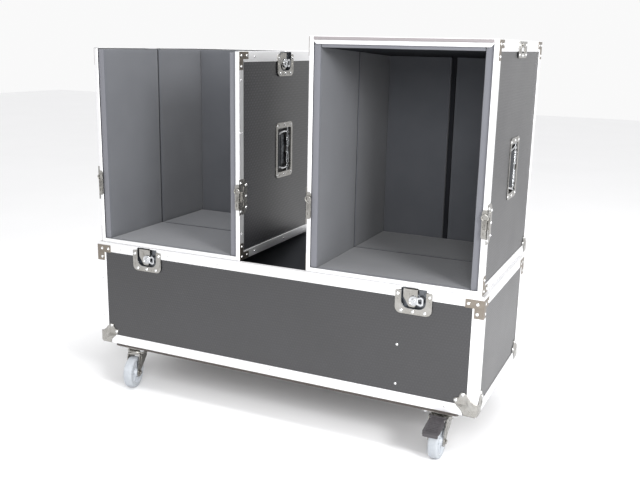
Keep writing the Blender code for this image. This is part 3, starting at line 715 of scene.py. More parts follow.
def rounded(corners, steps=4):
    """A closed outline from corners (x, z) or (x, z, radius), with an arc at each corner that has a radius."""
    outline = []
    for i, corner in enumerate(corners):
        here = Vector(corner[:2])
        radius = corner[2] if len(corner) > 2 else 0
        if not radius:
            outline.append(tuple(here))
            continue
        back = (Vector(corners[i - 1][:2]) - here).normalized()
        ahead = (Vector(corners[(i + 1) % len(corners)][:2]) - here).normalized()
        half = back.angle(ahead) / 2
        centre = here + (back + ahead).normalized() * radius / math.sin(half)
        start = here + back * radius / math.tan(half) - centre
        sweep = start.angle_signed(here + ahead * radius / math.tan(half) - centre)
        for step in range(steps + 1):
            turn = -sweep * step / steps
            outline.append((centre.x + start.x * math.cos(turn) - start.y * math.sin(turn),
                            centre.y + start.x * math.sin(turn) + start.y * math.cos(turn)))
    return outline


def rounded_box(x, z, far_x, far_z, radius, steps=4):
    """A rectangle's outline between two opposite corners, with all its corners rounded."""
    return rounded(((x, z, radius), (far_x, z, radius), (far_x, far_z, radius), (x, far_z, radius)), steps)


def box_outline(half_x, low_z, high_z, radius):
    return rounded_box(-half_x, low_z, half_x, high_z, radius)


def add_slab(bm, outline, low, high, place, holes=()):
    """A flat plate with an (x, z) outline, from y = low to y = high, with holes through it."""
    loops = [outline, *holes]
    ends = []
    for y in (low, high):
        rings = [[bm.verts.new(place @ Vector((x, y, z))) for x, z in loop] for loop in loops]
        if holes:
            rim_edges = [bm.edges.new((ring[i - 1], ring[i])) for ring in rings for i in range(len(ring))]
            bmesh.ops.triangle_fill(bm, use_beauty=True, edges=rim_edges, normal=place.col[1].xyz)
        else:
            bm.faces.new(rings[0])
        ends.append(rings)
    for near, far in zip(*ends):
        for i in range(len(near)):
            bm.faces.new((near[i - 1], near[i], far[i], far[i - 1]))


def add_turned(bm, profile, place, sides=24):
    """A body turned about z from (radius, height) points, from axis to axis or as a closed ring."""
    open_ended = profile[0][0] == 0
    rings = []
    for radius, height in profile:
        if radius == 0:
            rings.append([bm.verts.new(place @ Vector((0, 0, height)))] * sides)
        else:
            rings.append([bm.verts.new(place @ Vector((radius * math.cos(2 * math.pi * i / sides),
                                                       radius * math.sin(2 * math.pi * i / sides), height)))
                          for i in range(sides)])
    for i in range(0 if not open_ended else 1, len(rings)):
        low, high = rings[i - 1], rings[i]
        for j in range(sides):
            corners = []
            for vert in (low[j - 1], low[j], high[j], high[j - 1]):
                if vert not in corners:
                    corners.append(vert)
            if len(corners) > 2:
                bm.faces.new(corners)


def add_rod(bm, start, end, radius, place, sides=16):
    """A round bar between two points, with slightly eased ends."""
    start, end = Vector(start), Vector(end)
    turn = Vector((0, 0, 1)).rotation_difference(end - start).to_matrix().to_4x4()
    length = (end - start).length
    ease = min(0.15 * radius, 0.2 * length)
    profile = [(0, 0), (radius - ease, 0), (radius, ease), (radius, length - ease), (radius - ease, length),
               (0, length)]
    add_turned(bm, profile, place @ Matrix.Translation(start) @ turn, sides)


def add_wire(bm, points, radius, place, sides=8, loop=False):
    """A bent wire through points, round or closed on itself."""
    points = [Vector(point) for point in points]
    rings = []
    normal = None
    for i, point in enumerate(points):
        if loop:
            ahead = points[(i + 1) % len(points)] - points[i - 1]
        else:
            ahead = points[min(i + 1, len(points) - 1)] - points[max(i - 1, 0)]
        ahead.normalize()
        if normal is None:
            normal = ahead.orthogonal().normalized()
        normal = (normal - ahead * normal.dot(ahead)).normalized()
        other = ahead.cross(normal)
        rings.append([bm.verts.new(place @ (point + radius * (math.cos(2 * math.pi * j / sides) * normal
                                                             + math.sin(2 * math.pi * j / sides) * other)))
                      for j in range(sides)])
    for i in range(0 if loop else 1, len(rings)):
        for j in range(sides):
            bm.faces.new((rings[i - 1][j - 1], rings[i - 1][j], rings[i][j], rings[i][j - 1]))
    if not loop:
        bm.faces.new(rings[0])
        bm.faces.new(rings[-1])


def wall_rivets(place, spots, depth):
    """Rivet places on a panel's face: local x and z, at a depth in front of the angles."""
    facing = (place.to_3x3() @ Vector((0, -1, 0))).normalized()
    return [(tuple(place @ Vector((x, depth, z))), tuple(facing)) for x, z in spots]


OUTWARDS = Matrix.Rotation(math.pi / 2, 4, "X")
KEY_Z = -36
pan_outline = rounded([(-34, -3), (-34, -58, 20), (34, -58, 20), (34, -3)], 6)
pan_outer = rounded([(-35.3, -3), (-35.3, -59.3, 21), (35.3, -59.3, 21), (35.3, -3)], 6)
flange_outline = rounded([(-34, -10), (-52, -10, 3), (-52, -75, 17), (52, -75, 17), (52, -10, 3), (34, -10),
                          (34, -58, 20), (-34, -58, 20)], 6)
hook_outline = rounded([(-30, -5, 1.5), (10, -5, 1.5), (10, -42, 4), (3, -55, 5), (-13, -55, 5), (-30, -28, 6)])
hook_slot = rounded_box(-4.7, -31, 4.7, -50, 4, 3)
wing_outline = rounded([(8, -9, 2), (21, -13, 5), (28, -9, 5), (28, 9, 5), (21, 13, 5), (8, 9, 2)])
wing_hole = rounded([(13.5, -5, 2), (21, -8, 3), (23.5, -5, 3), (23.5, 5, 3), (21, 8, 3), (13.5, 5, 2)])
key_profile = [(0, -1.2), (13.6, -1.2), (14, -0.4), (14, 1.2), (13.2, 2.4), (11.4, 2.6), (10.4, 1.7), (7.4, 1.7),
               (6.8, 2.6), (5.4, 3.2), (2.4, 3.3), (2.0, 2.5), (0, 2.5)]
FLANGE_RIVETS = ((-44.5, -21), (44.5, -21), (-34, -66.5), (-1, -67), (33, -66.5))
rivet_places = {}


def add_latch(prefix, body, place):
    dish = bmesh.new()
    add_slab(dish, flange_outline, -1.8, -0.3, place)
    for x in (-19, 15):
        add_rod(dish, (x, -1.6, -67), (x, -2.5, -67), 2.4, place, 10)
    for x in (-1, 1):
        add_slab(dish, rounded_box(x * 43, -34, x * 47.5, -58, 1.5, 2), -2.5, -1.7, place)
    add_piece(f"{prefix}_flange", dish, zinc_plate, body, [f"{prefix}_dish"], 0.35 * MM)
    # The pan takes the darker zinc: painted shade and dark reflection for its recess.
    pan = bmesh.new()
    add_slab(pan, pan_outer + pan_outline[::-1], -1.9, 8.5, place)
    add_slab(pan, pan_outer, 8.5, 9.9, place)
    add_turned(pan, [(5, -8.5), (19, -8.5), (19, -7.6), (17.5, -6.8), (5, -6.8)], place
               @ Matrix.Translation((0, 0, KEY_Z)) @ OUTWARDS, 28)
    for x in (-26, 26):
        add_slab(pan, rounded_box(x - 1.2, -50, x + 1.2, -12, 1, 2), 7.6, 8.6, place)
    add_piece(f"{prefix}_pan", pan, pan_zinc_painted_shade, body, bevel=0.3 * MM)
    rivet_places.setdefault(body, []).extend(wall_rivets(place, FLANGE_RIVETS, -1.8))

    hook = bmesh.new()
    add_slab(hook, hook_outline, 1.5, 3.7, place, [hook_slot])
    add_slab(hook, rounded_box(-25, -8.5, 5, -5.2, 1, 2), -1.2, 1.6, place)
    add_slab(hook, rounded([(-26, -12, 2), (-13, -12, 2), (-13, -27, 2), (-26, -25, 2)], 2), 0.7, 1.6, place)
    add_piece(f"{prefix}_hook_plate", hook, zinc_plate, f"{prefix}_hook", [f"{prefix}_hook"], 0.3 * MM)

    key_place = place @ Matrix.Translation((0, 0, KEY_Z))
    key = bmesh.new()
    add_turned(key, key_profile, key_place @ OUTWARDS, 28)
    add_rod(key, (0, 1.0, 0), (0, 8.2, 0), 4, key_place, 14)
    add_slab(key, wing_outline, -2.6, -0.4, key_place, [wing_hole])
    for low, high in ((-9, -3.5), (-2.8, 2.8), (3.5, 9)):
        add_rod(key, (10.6, -1.8, low), (10.6, -1.8, high), 1.7, key_place, 10)
    add_piece(f"{prefix}_butterfly_key", key, bright_steel, f"{prefix}_key", [f"{prefix}_key"],
              0.3 * MM)


for face, y, turn in (("front", tray_low.y, 0.0), ("back", tray_high.y, math.pi)):
    for side, x in zip(("left", "right"), latch_xs):
        add_latch(f"latch_{face}_{side}", "tray", mm_frame((x, y, rim_high.z), turn))
low, high, middle_y = hoods["hood_left"]
for side, x, turn in (("left", low.x, -math.pi / 2), ("right", high.x, math.pi / 2)):
    add_latch(f"hood_left_latch_{side}", "hood_left", mm_frame((x, middle_y, high.z), turn))
for body, places in rivet_places.items():
    add_rivets(f"{body}_latch_rivets", places, body, 5.0 * MM, 2.4 * MM)

# ------------------------------------------------------------------ keepers and rim catches
# The right hood's closed end carries a keeper plate on each side for the left hood's latches. Each hood has a catch
# at both long sides of its opening: a plate with sloped ends, an eye and a latch bar that the tray's hooks take.

low, high, middle_y = hoods["hood_right"]
keeper_outline = rounded([(-52, -47, 8), (52, -47, 8), (52, -3, 4), (-52, -3, 4)])
keeper_window = rounded_box(-19, -33, 19, -19, 3)
keeper_rivets = []
for side, x, turn in (("left", low.x, -math.pi / 2), ("right", high.x, math.pi / 2)):
    place = mm_frame((x, middle_y, high.z), turn)
    keeper = bmesh.new()
    add_slab(keeper, keeper_outline, -1.8, -0.3, place, [keeper_window])
    add_slab(keeper, rounded_box(-15, -15, 15, -9, 2, 3), -4.8, -1.7, place)
    for x_rib in (-30, 30):
        add_slab(keeper, rounded_box(x_rib - 1.5, -38, x_rib + 1.5, -12, 1.4, 3), -2.6, -1.7, place)
    add_piece(f"hood_right_keeper_plate_{side}", keeper, zinc_plate, "hood_right",
              [f"hood_right_keeper_{side}"], 0.35 * MM)
    keeper_rivets += wall_rivets(place, ((-43, -12), (43, -12), (-43, -38), (43, -38), (0, -40)), -1.8)
add_rivets("hood_right_keeper_rivets", keeper_rivets, "hood_right", 4.6 * MM, 2.2 * MM)

CATCH_Z = 190 * MM
for hood, (low, high, middle_y) in hoods.items():
    catch_rivets = []
    for name, side, x in (("left", -1, low.x), ("right", 1, high.x)):
        origin = (x, low.y, low.z + CATCH_Z)
        place = mm_frame(origin, side * math.pi / 2) @ Matrix.Diagonal((side, 1, 1, 1))
        catch = bmesh.new()
        add_slab(catch, rounded([(-1.8, -52), (28, -52, 5), (42, -36, 7), (42, 36, 7), (28, 52, 5), (-1.8, 52)]),
                 -1.8, -0.3, place)
        add_slab(catch, rounded_box(8, -15, 14, 15, 2, 2), -5.6, -1.7, place)
        add_slab(catch, rounded_box(20, -30, 23, 30, 1.5, 2), -2.7, -1.7, place)
        front = mm_frame(origin) @ Matrix.Diagonal((-side, 1, 1, 1))
        add_slab(catch, rounded([(-1.8, -38), (10, -38, 3), (14, -33, 2), (14, 33, 2), (10, 38, 3), (-1.8, 38)], 3),
                 -1.8, -0.3, front)
        add_slab(catch, rounded_box(0.5, -34, 12, -12, 2, 3), -4.6, -1.7, front,
                 [rounded_box(4, -28, 8.5, -18, 2, 2)])
        for bar_x in (2.2, 6.2, 10.2):
            add_rod(catch, (bar_x, -2.6, -10), (bar_x, -2.6, 6), 1.2, front, 8)
        ring = [(6 + 8.5 * math.cos(2 * math.pi * i / 24), -4.0 - 0.8 * math.sin(2 * math.pi * i / 24),
                 18 + 8.5 * math.sin(2 * math.pi * i / 24)) for i in range(24)]
        add_wire(catch, ring, 1.7, front, 8, loop=True)
        add_rod(catch, (6, -1.6, 26.5), (6, -5.2, 26.5), 2.4, front, 10)
        add_piece(f"{hood}_rim_catch_plate_{name}", catch, zinc_plate, hood,
                  [f"{hood}_rim_catch_{name}"], 0.3 * MM)
        catch_rivets += [(tuple(place @ Vector((36, -1.8, z))), (side, 0, 0)) for z in (-33, 0, 33)]
        catch_rivets += [(tuple(place @ Vector((6, -1.8, z))), (side, 0, 0)) for z in (-42, 42)]
    add_rivets(f"{hood}_catch_rivets", catch_rivets, hood, 4.8 * MM, 2.3 * MM)

# ------------------------------------------------------------------ spring handles
# A pressed zinc-plated dish is let into each long side of the hoods. Its rubber grip hangs on two bent steel arms
# that turn on a spindle, and two coil springs on the spindle fold the grip back into the dish.

# Moulded black rubber: soft grazing sheen and shallow moulded ribs, with a little dust in them.
grip_rubber = plain_finish("moulded_black_rubber", {"Specular IOR Level": 0.45}, 150.0, ("1d1f22", "36393d"),
                           (0.36, 0.55), ("ShaderNodeTexNoise", {"Scale": 1200.0}, 0.1 * MM, 0.5))

# Near-black pan floor, half gloss, so the wires show against it: painted shade for the deep recess of the handle
# dish.
pan_floor_painted_shade = plain_finish("pan_floor_black_painted_shade", {"Specular IOR Level": 0.5}, 70.0, ("0c0c0e", "1d1c20"), (0.3, 0.5),
                         ("ShaderNodeTexNoise", {"Scale": 500.0}, 0.05 * MM, 0.4))


def spring_tree():
    """A coil of round wire along z on every point."""
    tree, given = new_tree("coil_spring", ("Turns", "Coil radius", "Length", "Wire radius"))
    take = given.outputs
    coil = add_node(tree, "GeometryNodeCurveSpiral", {"Resolution": 14},
                    {"Rotations": take["Turns"], "Start Radius": take["Coil radius"],
                     "End Radius": take["Coil radius"], "Height": take["Length"]})
    section = add_node(tree, "GeometryNodeCurvePrimitiveCircle", {"Resolution": 6}, {"Radius": take["Wire radius"]})
    wire = add_node(tree, "GeometryNodeCurveToMesh", {"Fill Caps": True},
                    {"Curve": coil.outputs[0], "Profile Curve": section.outputs[0]})
    copy_to_points(tree, given, wire)
    return tree


SPRINGS = spring_tree()
HANDLE_Z = 300 * MM
SPRING_LENGTH = 36
grip_profile = [(0, -50), (5.8, -50), (7.2, -48.6)]
for i in range(22):
    z = -46 + 4.2 * i
    grip_profile += [(7.5, z), (7.5, z + 2.6), (7.0, z + 3.1), (7.0, z + 3.7)]
grip_profile += [(7.2, 48.6), (5.8, 50), (0, 50)]

for hood, (low, high, middle_y) in hoods.items():
    handle_rivets = []
    spring_points = []
    for name, side, x in (("left", -1, low.x), ("right", 1, high.x)):
        prefix = f"{hood}_handle_{name}"
        place = mm_frame((x, middle_y, low.z + HANDLE_Z), side * math.pi / 2)
        dish = bmesh.new()
        add_slab(dish, box_outline(55, -86, 86, 13), 0.4, 2.0, place, [box_outline(44.6, -68.6, 68.6, 7)])
        add_slab(dish, box_outline(46, -70, 70, 8), 2.0, 13.5, place, [box_outline(44.6, -68.6, 68.6, 7)])
        for z in (-1, 1):
            add_slab(dish, rounded_box(22, z * 77, 36, z * 81, 1.8, 3), -0.3, 0.5, place)
            add_slab(dish, rounded_box(-36, z * 77, -22, z * 81, 1.8, 3), -0.3, 0.5, place)
        add_piece(f"{prefix}_pressing", dish, zinc_plate, hood, [f"{prefix}_dish"], 0.35 * MM)
        # The dish's floor is near black: painted shade of the deep recess.
        floor = bmesh.new()
        add_slab(floor, box_outline(45.9, -69.9, 69.9, 8), 13.5, 14.8, place)
        for z in (-1, 1):
            add_slab(floor, rounded_box(-38, z * 58, 18, z * 62, 2, 3), 12.8, 13.6, place)
        add_piece(f"{prefix}_pan_floor", floor, pan_floor_painted_shade, hood, bevel=0.3 * MM)
        # The spring bracket in the recess takes the same darker zinc: painted shade.
        bracket = bmesh.new()
        add_slab(bracket, box_outline(11, -46, 46, 3), 12.3, 13.6, place @ Matrix.Translation((8, 0, 0)))
        for z in (-38, -24, -10, 4, 18, 32):
            add_slab(bracket, rounded_box(1, z, 15, z + 6, 2, 3), 10.6, 12.4, place)
        add_piece(f"{prefix}_spring_bracket", bracket, pan_zinc_painted_shade, hood, bevel=0.3 * MM)
        handle_rivets += wall_rivets(place, ((0, 78), (0, -78), (-46, 76), (46, 76), (-46, -76), (46, -76)), 0.5)

        grip = bmesh.new()
        add_turned(grip, grip_profile, place @ Matrix.Translation((-30, 3.5, 0)), 20)
        add_piece(f"{prefix}_rubber_grip", grip, grip_rubber, f"{prefix}_grip", [f"{prefix}_grip"])
        arms = bmesh.new()
        for z in (-1, 1):
            path = [(-30, 3.5, z * 49)]
            for step in range(13):
                share = step / 12
                path.append((-30 + 60 * share, 3.5 + 3 * share - 3.2 * math.sin(math.pi * share),
                             z * (53.4 + 4.2 * math.sin(math.pi * share))))
            add_wire(arms, path, 2.5, place, 10)
            add_turned(arms, [(3, -3.4), (5.2, -3.4), (5.2, 3.4), (3, 3.4)], place
                       @ Matrix.Translation((30, 6.5, z * 53.4)), 16)
        add_rod(arms, (30, 6.5, -68.2), (30, 6.5, 68.2), 2.9, place, 12)
        for z in (-66, 66):
            add_turned(arms, [(2.8, -1), (5, -1), (5, 1), (2.8, 1)], place @ Matrix.Translation((30, 6.5, z)), 12)
        add_piece(f"{prefix}_arms", arms, bright_steel, f"{prefix}_grip")
        for z in (8, -8 - SPRING_LENGTH):
            spring_points.append(tuple(place @ Vector((30, 6.5, z))))
    add_rivets(f"{hood}_handle_rivets", handle_rivets, hood, 4.2 * MM, 1.7 * MM)
    points = bpy.data.meshes.new(f"{hood}_spring_points")
    points.from_pydata(spring_points, [], [])
    bake_tree(f"{hood}_handle_springs", points, SPRINGS,
              {"Turns": 13.0, "Coil radius": 5.2 * MM, "Length": SPRING_LENGTH * MM, "Wire radius": 1.1 * MM,
               "Finish": bright_steel}, hood)

# ------------------------------------------------------------------ casters
# Swivel casters with a zinc-plated top plate, ball race, pressed fork and a grey elastic rubber tyre on a moulded
# hub. Four hex bolts hold each plate to the base board. The pair at the right has a brake pedal over the wheel.

# Blue-grey elastic rubber: matt, faintly mottled, with road dust lightening it.
tyre_rubber = plain_finish("blue_grey_elastic_rubber", {"Specular IOR Level": 0.35}, 90.0, ("989da3", "b4b8bd"),
                           (0.5, 0.7), ("ShaderNodeTexNoise", {"Scale": 700.0, "Detail": 3.0}, 0.15 * MM, 0.5))

# Injection-moulded polypropylene hub: half gloss with a fine spark-eroded skin.
hub_plastic = plain_finish("moulded_grey_polypropylene", {"Specular IOR Level": 0.5}, 110.0, ("a4a9b0", "bfc3c8"),
                           (0.35, 0.5), ("ShaderNodeTexVoronoi", {"Scale": 1500.0}, 0.04 * MM, 0.4))

# Glass-filled nylon pedal: dark grey, slightly worn where feet press it.
pedal_nylon = plain_finish("moulded_dark_nylon", {"Specular IOR Level": 0.5}, 60.0, ("2f2d30", "4a474a"),
                           (0.38, 0.58), ("ShaderNodeTexVoronoi", {"Scale": 1100.0}, 0.06 * MM, 0.5))


def bolt_tree():
    """Hex bolt heads with a washer, standing on the given points with their heads down."""
    tree, given = new_tree("hex_bolts", ("Head radius", "Head height", "Washer radius"))
    take = given.outputs
    head = add_node(tree, "GeometryNodeMeshCylinder", {"Vertices": 6}, {"Radius": take["Head radius"],
                                                                        "Depth": take["Head height"]})
    washer = add_node(tree, "GeometryNodeMeshCylinder", {"Vertices": 20, "Depth": 1.4 * MM},
                      {"Radius": take["Washer radius"]})
    lift = add_node(tree, "GeometryNodeTransform", {"Translation": (0, 0, 2.6 * MM)}, {0: washer.outputs[0]})
    copy_to_points(tree, given, join_shapes(tree, head, lift), smooth=False)
    return tree


ACROSS = Matrix.Rotation(math.pi / 2, 4, "Z")
AXLE = Matrix.Translation((0, -40, 50)) @ Matrix.Rotation(math.pi / 2, 4, "Y")
leg_outline = ([(-34, 108), (24, 108), (20, 88)]
               + [(-40 + 15 * math.cos(math.radians(turn)), 50 + 15 * math.sin(math.radians(turn)))
                  for turn in range(20, -186, -15)])
tyre_profile = [(37.5, -12.8), (41.5, -14), (46, -14), (48.6, -12.6), (49.7, -10), (50, -6), (50, 6), (49.7, 10),
                (48.6, 12.6), (46, 14), (41.5, 14), (37.5, 12.8)]
hub_profile = [(5.5, -18), (11.5, -18), (13.2, -17), (14.5, -12), (17, -9.6), (33.5, -9.6), (35.5, -12.4),
               (38.3, -13.2), (38.3, 13.2), (35.5, 12.4), (33.5, 9.6), (17, 9.6), (14.5, 12), (13.2, 17), (11.5, 18),
               (5.5, 18)]
crown_profile = [(9, 104), (29, 104), (32, 106), (33, 109), (33, 113), (31.5, 116.5), (27, 119.4), (22, 120.2),
                 (9, 120.2)]
race_profile = [(17, 120.9), (27.4, 120.9), (29.0, 122.4), (29.3, 126), (28.4, 131), (17, 131)]
CASTER_TURNS = {"front_left": 13, "front_right": 0, "back_left": 160, "back_right": 180}
bolt_points = []

for corner, turn in CASTER_TURNS.items():
    prefix = f"caster_{corner}"
    plate_low, plate_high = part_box(f"{prefix}_plate")
    origin = ((plate_low[0] + plate_high[0]) / 2, (plate_low[1] + plate_high[1]) / 2, 0)
    fixed = mm_frame(origin)
    plate = bmesh.new()
    slots = [rounded_box(x - 5.5, z - 4, x + 5.5, z + 4, 3.6) for x in (-40, 40) for z in (-30, 30)]
    add_slab(plate, rounded_box(-52.5, -42.5, 52.5, 42.5, 8, 5), 130.6, 133.7, fixed @ OUTWARDS, slots)
    add_turned(plate, race_profile, fixed, 36)
    add_piece(f"{prefix}_top_plate", plate, zinc_plate, "tray", [f"{prefix}_plate"], 0.4 * MM)
    bolt_points += [tuple(fixed @ Vector((x, y, 127.2))) for x in (-40, 40) for y in (-30, 30)]

    place = mm_frame(origin, math.radians(turn))
    fork = bmesh.new()
    add_turned(fork, crown_profile, place, 36)
    add_turned(fork, [(0, 97), (8.5, 97), (9.5, 98.2), (9.5, 104.2), (0, 104.2)], place, 6)
    add_slab(fork, rounded([(-21.5, -24, 6), (21.5, -24, 6), (21.5, 34, 3), (-21.5, 34, 3)], 4), 106, 111.5,
             place @ OUTWARDS)
    for side in SIDES:
        low, high = sorted((side * 18.5, side * 21.5))
        add_slab(fork, leg_outline, low, high, place @ ACROSS)
        low, high = sorted((side * 21.3, side * 22.3))
        add_slab(fork, rounded([(-22, 101, 3), (12, 101, 3), (6, 86, 3), (-27, 62, 3), (-33, 66, 3)], 3), low, high,
                 place @ ACROSS)
        wheel_axis = place @ AXLE
        add_turned(fork, [(0, side * 21.3), (9.5, side * 21.3), (9.5, side * 22.8), (0, side * 22.8)], wheel_axis, 20)
        add_turned(fork, [(0, side * 22.6), (7, side * 22.6), (7.4, side * 23.2), (7.4, side * 26.6),
                          (6.4, side * 27.4), (0, side * 27.4)], wheel_axis, 6)
    add_rod(fork, (-21, -40, 50), (21, -40, 50), 4.8, place, 14)
    if corner.endswith("right"):
        for side in SIDES:
            low, high = sorted((side * 24.7, side * 27.5))
            add_slab(fork, rounded([(-48, 109, 4), (-26, 109, 2), (-26, 117, 2), (-34, 122, 2), (-48, 122, 5)], 4),
                     low, high, place @ ACROSS)
        add_slab(fork, [(-27.5, 24), (27.5, 24), (27.5, 34), (-27.5, 34)], 109, 112, place @ OUTWARDS)
        add_rod(fork, (-27.5, -42, 118), (27.5, -42, 118), 2.4, place, 12)
    add_piece(f"{prefix}_pressed_fork", fork, zinc_plate, f"{prefix}_swivel", [f"{prefix}_fork"],
              0.45 * MM)

    tyre = bmesh.new()
    add_turned(tyre, tyre_profile, place @ AXLE, 64)
    add_piece(f"{prefix}_tyre", tyre, tyre_rubber, f"{prefix}_wheel", [f"{prefix}_wheel"])
    hub = bmesh.new()
    add_turned(hub, hub_profile, place @ AXLE, 48)
    for i in range(8):
        spoke = place @ AXLE @ Matrix.Rotation(math.radians(45 * i), 4, "Z") @ OUTWARDS
        for low, high in ((9.4, 11.8), (-11.8, -9.4)):
            add_slab(hub, [(14, -1.1), (35.4, -1.1), (35.4, 1.1), (14, 1.1)], low, high, spoke)
    add_piece(f"{prefix}_hub", hub, hub_plastic, f"{prefix}_wheel", bevel=0.4 * MM)

    if corner.endswith("right"):
        tilt = place @ Matrix.Translation((0, -42, 118)) @ Matrix.Rotation(math.radians(13), 4, "X")
        pedal = bmesh.new()
        add_slab(pedal, rounded([(-15, 2, 3), (15, 2, 3), (23, 20, 6), (24, 70, 8), (18, 79, 5), (-18, 79, 5),
                                 (-24, 70, 8), (-23, 20, 6)], 4), -1.2, 2.2, tilt @ OUTWARDS)
        for rib in range(6):
            z = 30 + 7 * rib
            add_slab(pedal, rounded_box(-17, z - 1.3, 17, z + 1.3, 1.2, 3), 2.0, 3.4, tilt @ OUTWARDS)
        add_slab(pedal, rounded([(-21, -9, 2), (21, -9, 2), (22, 1.5, 1), (-22, 1.5, 1)], 3), -78.6, -76.2, tilt)
        add_turned(pedal, [(4, 2.0), (7, 2.0), (7, 3.4), (4, 3.4)], tilt @ Matrix.Translation((0, -16, 0)), 20)
        for side in SIDES:
            low, high = sorted((side * 21.6, side * 23.8))
            add_slab(pedal, rounded([(-72, -1, 1), (-6, -1, 1), (-6, -2, 0.4), (-66, -2, 0.4)], 2), low, high,
                     tilt @ ACROSS)
        add_rod(pedal, (-24.2, 0, 0), (24.2, 0, 0), 4, tilt, 16)
        add_piece(f"{prefix}_brake_pedal_moulding", pedal, pedal_nylon, f"{prefix}_brake_pedal",
                  [f"{prefix}_brake_pedal"], 0.5 * MM)

points = bpy.data.meshes.new("plate_bolt_points")
points.from_pydata(bolt_points, [], [])
bake_tree("caster_plate_bolts", points, bolt_tree(),
          {"Head radius": 7.5 * MM, "Head height": 5.3 * MM, "Washer radius": 9 * MM, "Finish": bright_steel},
          "tray")

# ------------------------------------------------------------------ foam linings
# Charcoal polyether foam, 22 mm thick, cut to sheets and glued to the panels. Each wall is two sheets that meet
# about half way back in a soft groove. The arrises are eased, and the sheets are left slightly uneven by the glue.

# Open-cell foam: fully matt, with a fine pitted skin. Its cells are drawn 1.2 mm wide, so that they show at all.
foam, shader = new_finish("charcoal_open_cell_foam", {"Specular IOR Level": 0.12, "Sheen Weight": 0.25,
                                                       "Sheen Roughness": 0.6})
place = add_node(foam, "ShaderNodeTexCoord")
skin_tint = cloud_finish(foam, shader, place.outputs["Object"], 9.0, ("4f5156", "5c5e63"), (0.93, 0.99))
# Faces that look to the front, in the front part of the case, are painted paler than the skin: painted light where
# the lamps catch the sheets' front edges.
facing = add_node(foam, "ShaderNodeNewGeometry")
frontward = add_node(foam, "ShaderNodeVectorMath", {"operation": "DOT_PRODUCT", 1: (0, -1, 0)},
                     {0: facing.outputs["Normal"]})
painted_front_light = add_node(foam, "ShaderNodeMapRange", {"From Min": 0.75, "From Max": 0.95},
                {"Value": frontward.outputs["Value"]})
painted_front_light_place = add_node(foam, "ShaderNodeSeparateXYZ", {}, {0: place.outputs["Object"]})
at_front = add_node(foam, "ShaderNodeMath", {"operation": "LESS_THAN", 1: -0.2}, {0: painted_front_light_place.outputs["Y"]})
painted_front_light_share = add_node(foam, "ShaderNodeMath", {"operation": "MULTIPLY"}, {0: painted_front_light.outputs[0], 1: at_front.outputs[0]})
painted_front_light_tint = add_node(foam, "ShaderNodeMix", {"data_type": "RGBA", 7: linear("6b6c72")},
                     {0: painted_front_light_share.outputs[0], 6: skin_tint.outputs[2]})
foam.node_tree.links.new(painted_front_light_tint.outputs[2], shader.inputs["Base Color"])
cells = add_node(foam, "ShaderNodeTexVoronoi", {"Scale": 830.0}, {"Vector": place.outputs["Object"]})
bump_finish(foam, shader, cells.outputs[0], 0.5 * MM, 0.6)

# Near-black foam for the ceiling sheet, the strip in the back wall and the bottoms of the grooves between sheets:
# painted shade in the grooves and the gap, and at the ceiling partly a darker foam and partly painted shade.
dark_foam_painted_shade = plain_finish("dark_foam_with_painted_shade", {"Specular IOR Level": 0.1}, 12.0, ("1d1e21", "28292d"),
                          (0.94, 0.99), ("ShaderNodeTexVoronoi", {"Scale": 830.0}, 0.5 * MM, 0.6))

FOAM = 22 * MM
FOAM_ROUNDING = 2.6 * MM
FOAM_CELL = 14 * MM


def grid_lines(low, high, r, extra=()):
    """Where a foam sheet's mesh is cut along one axis: close together near its ends and at the extra places."""
    steps = max(1, round((high - low - 2 * r) / FOAM_CELL))
    marks = [low, low + 0.35 * r, low + r, high - r, high - 0.35 * r, high]
    marks += [low + r + (high - low - 2 * r) * i / steps for i in range(1, steps)]
    kept = []
    for mark in sorted(marks + list(extra)):
        if not kept or mark - kept[-1] > 0.1 * MM:
            kept.append(mark)
    return kept


def add_foam(name, low, high, body, stands_for=(), pocket=None, finish=foam, sag=0.0):
    """A sheet of foam with eased arrises. A pocket is (axis, side, low, high, depth): where a pan sinks into it. A
    sag is how far a ceiling sheet's underside hangs down at its back."""
    low, high = Vector(low), Vector(high)
    extra = ((), (), ())
    if pocket:
        axis, side, pocket_low, pocket_high, depth = pocket
        extra = [() if i == axis else (pocket_low[i] - 0.3 * MM, pocket_low[i], pocket_high[i],
                                       pocket_high[i] + 0.3 * MM) for i in range(3)]
    r = min(FOAM_ROUNDING, 0.45 * min(high - low))
    lines = [grid_lines(low[i], high[i], r, extra[i]) for i in range(3)]
    bm = bmesh.new()
    verts = {}

    def vert(place):
        if place in verts:
            return verts[place]
        point = Vector(place)
        core = Vector([min(max(point[i], low[i] + r), high[i] - r) for i in range(3)])
        out = (point - core).normalized()
        lump = noise.noise(point * 9) * 0.5 * MM + noise.noise(point * 31) * 0.2 * MM
        eased = core + out * (r + lump - 0.7 * MM)
        if pocket:
            others = [i for i in range(3) if i != axis]
            face = high[axis] if side > 0 else low[axis]
            if point[axis] == face and all(pocket_low[i] <= point[i] <= pocket_high[i] for i in others):
                eased[axis] = face - side * depth
        if sag and point.z < high.z - FOAM / 2:
            eased.z -= sag * (point.y - low.y) / (high.y - low.y)
        verts[place] = bm.verts.new(eased)
        return verts[place]

    for across in range(3):
        u, v = [i for i in range(3) if i != across]
        for level in (lines[across][0], lines[across][-1]):
            for i in range(1, len(lines[u])):
                for j in range(1, len(lines[v])):
                    corners = []
                    for a, b in ((i - 1, j - 1), (i, j - 1), (i, j), (i - 1, j)):
                        place = [0, 0, 0]
                        place[across], place[u], place[v] = level, lines[u][a], lines[v][b]
                        corners.append(vert(tuple(place)))
                    bm.faces.new(corners)
    sheet = add_piece(name, bm, finish, body, list(stands_for))
    return sheet


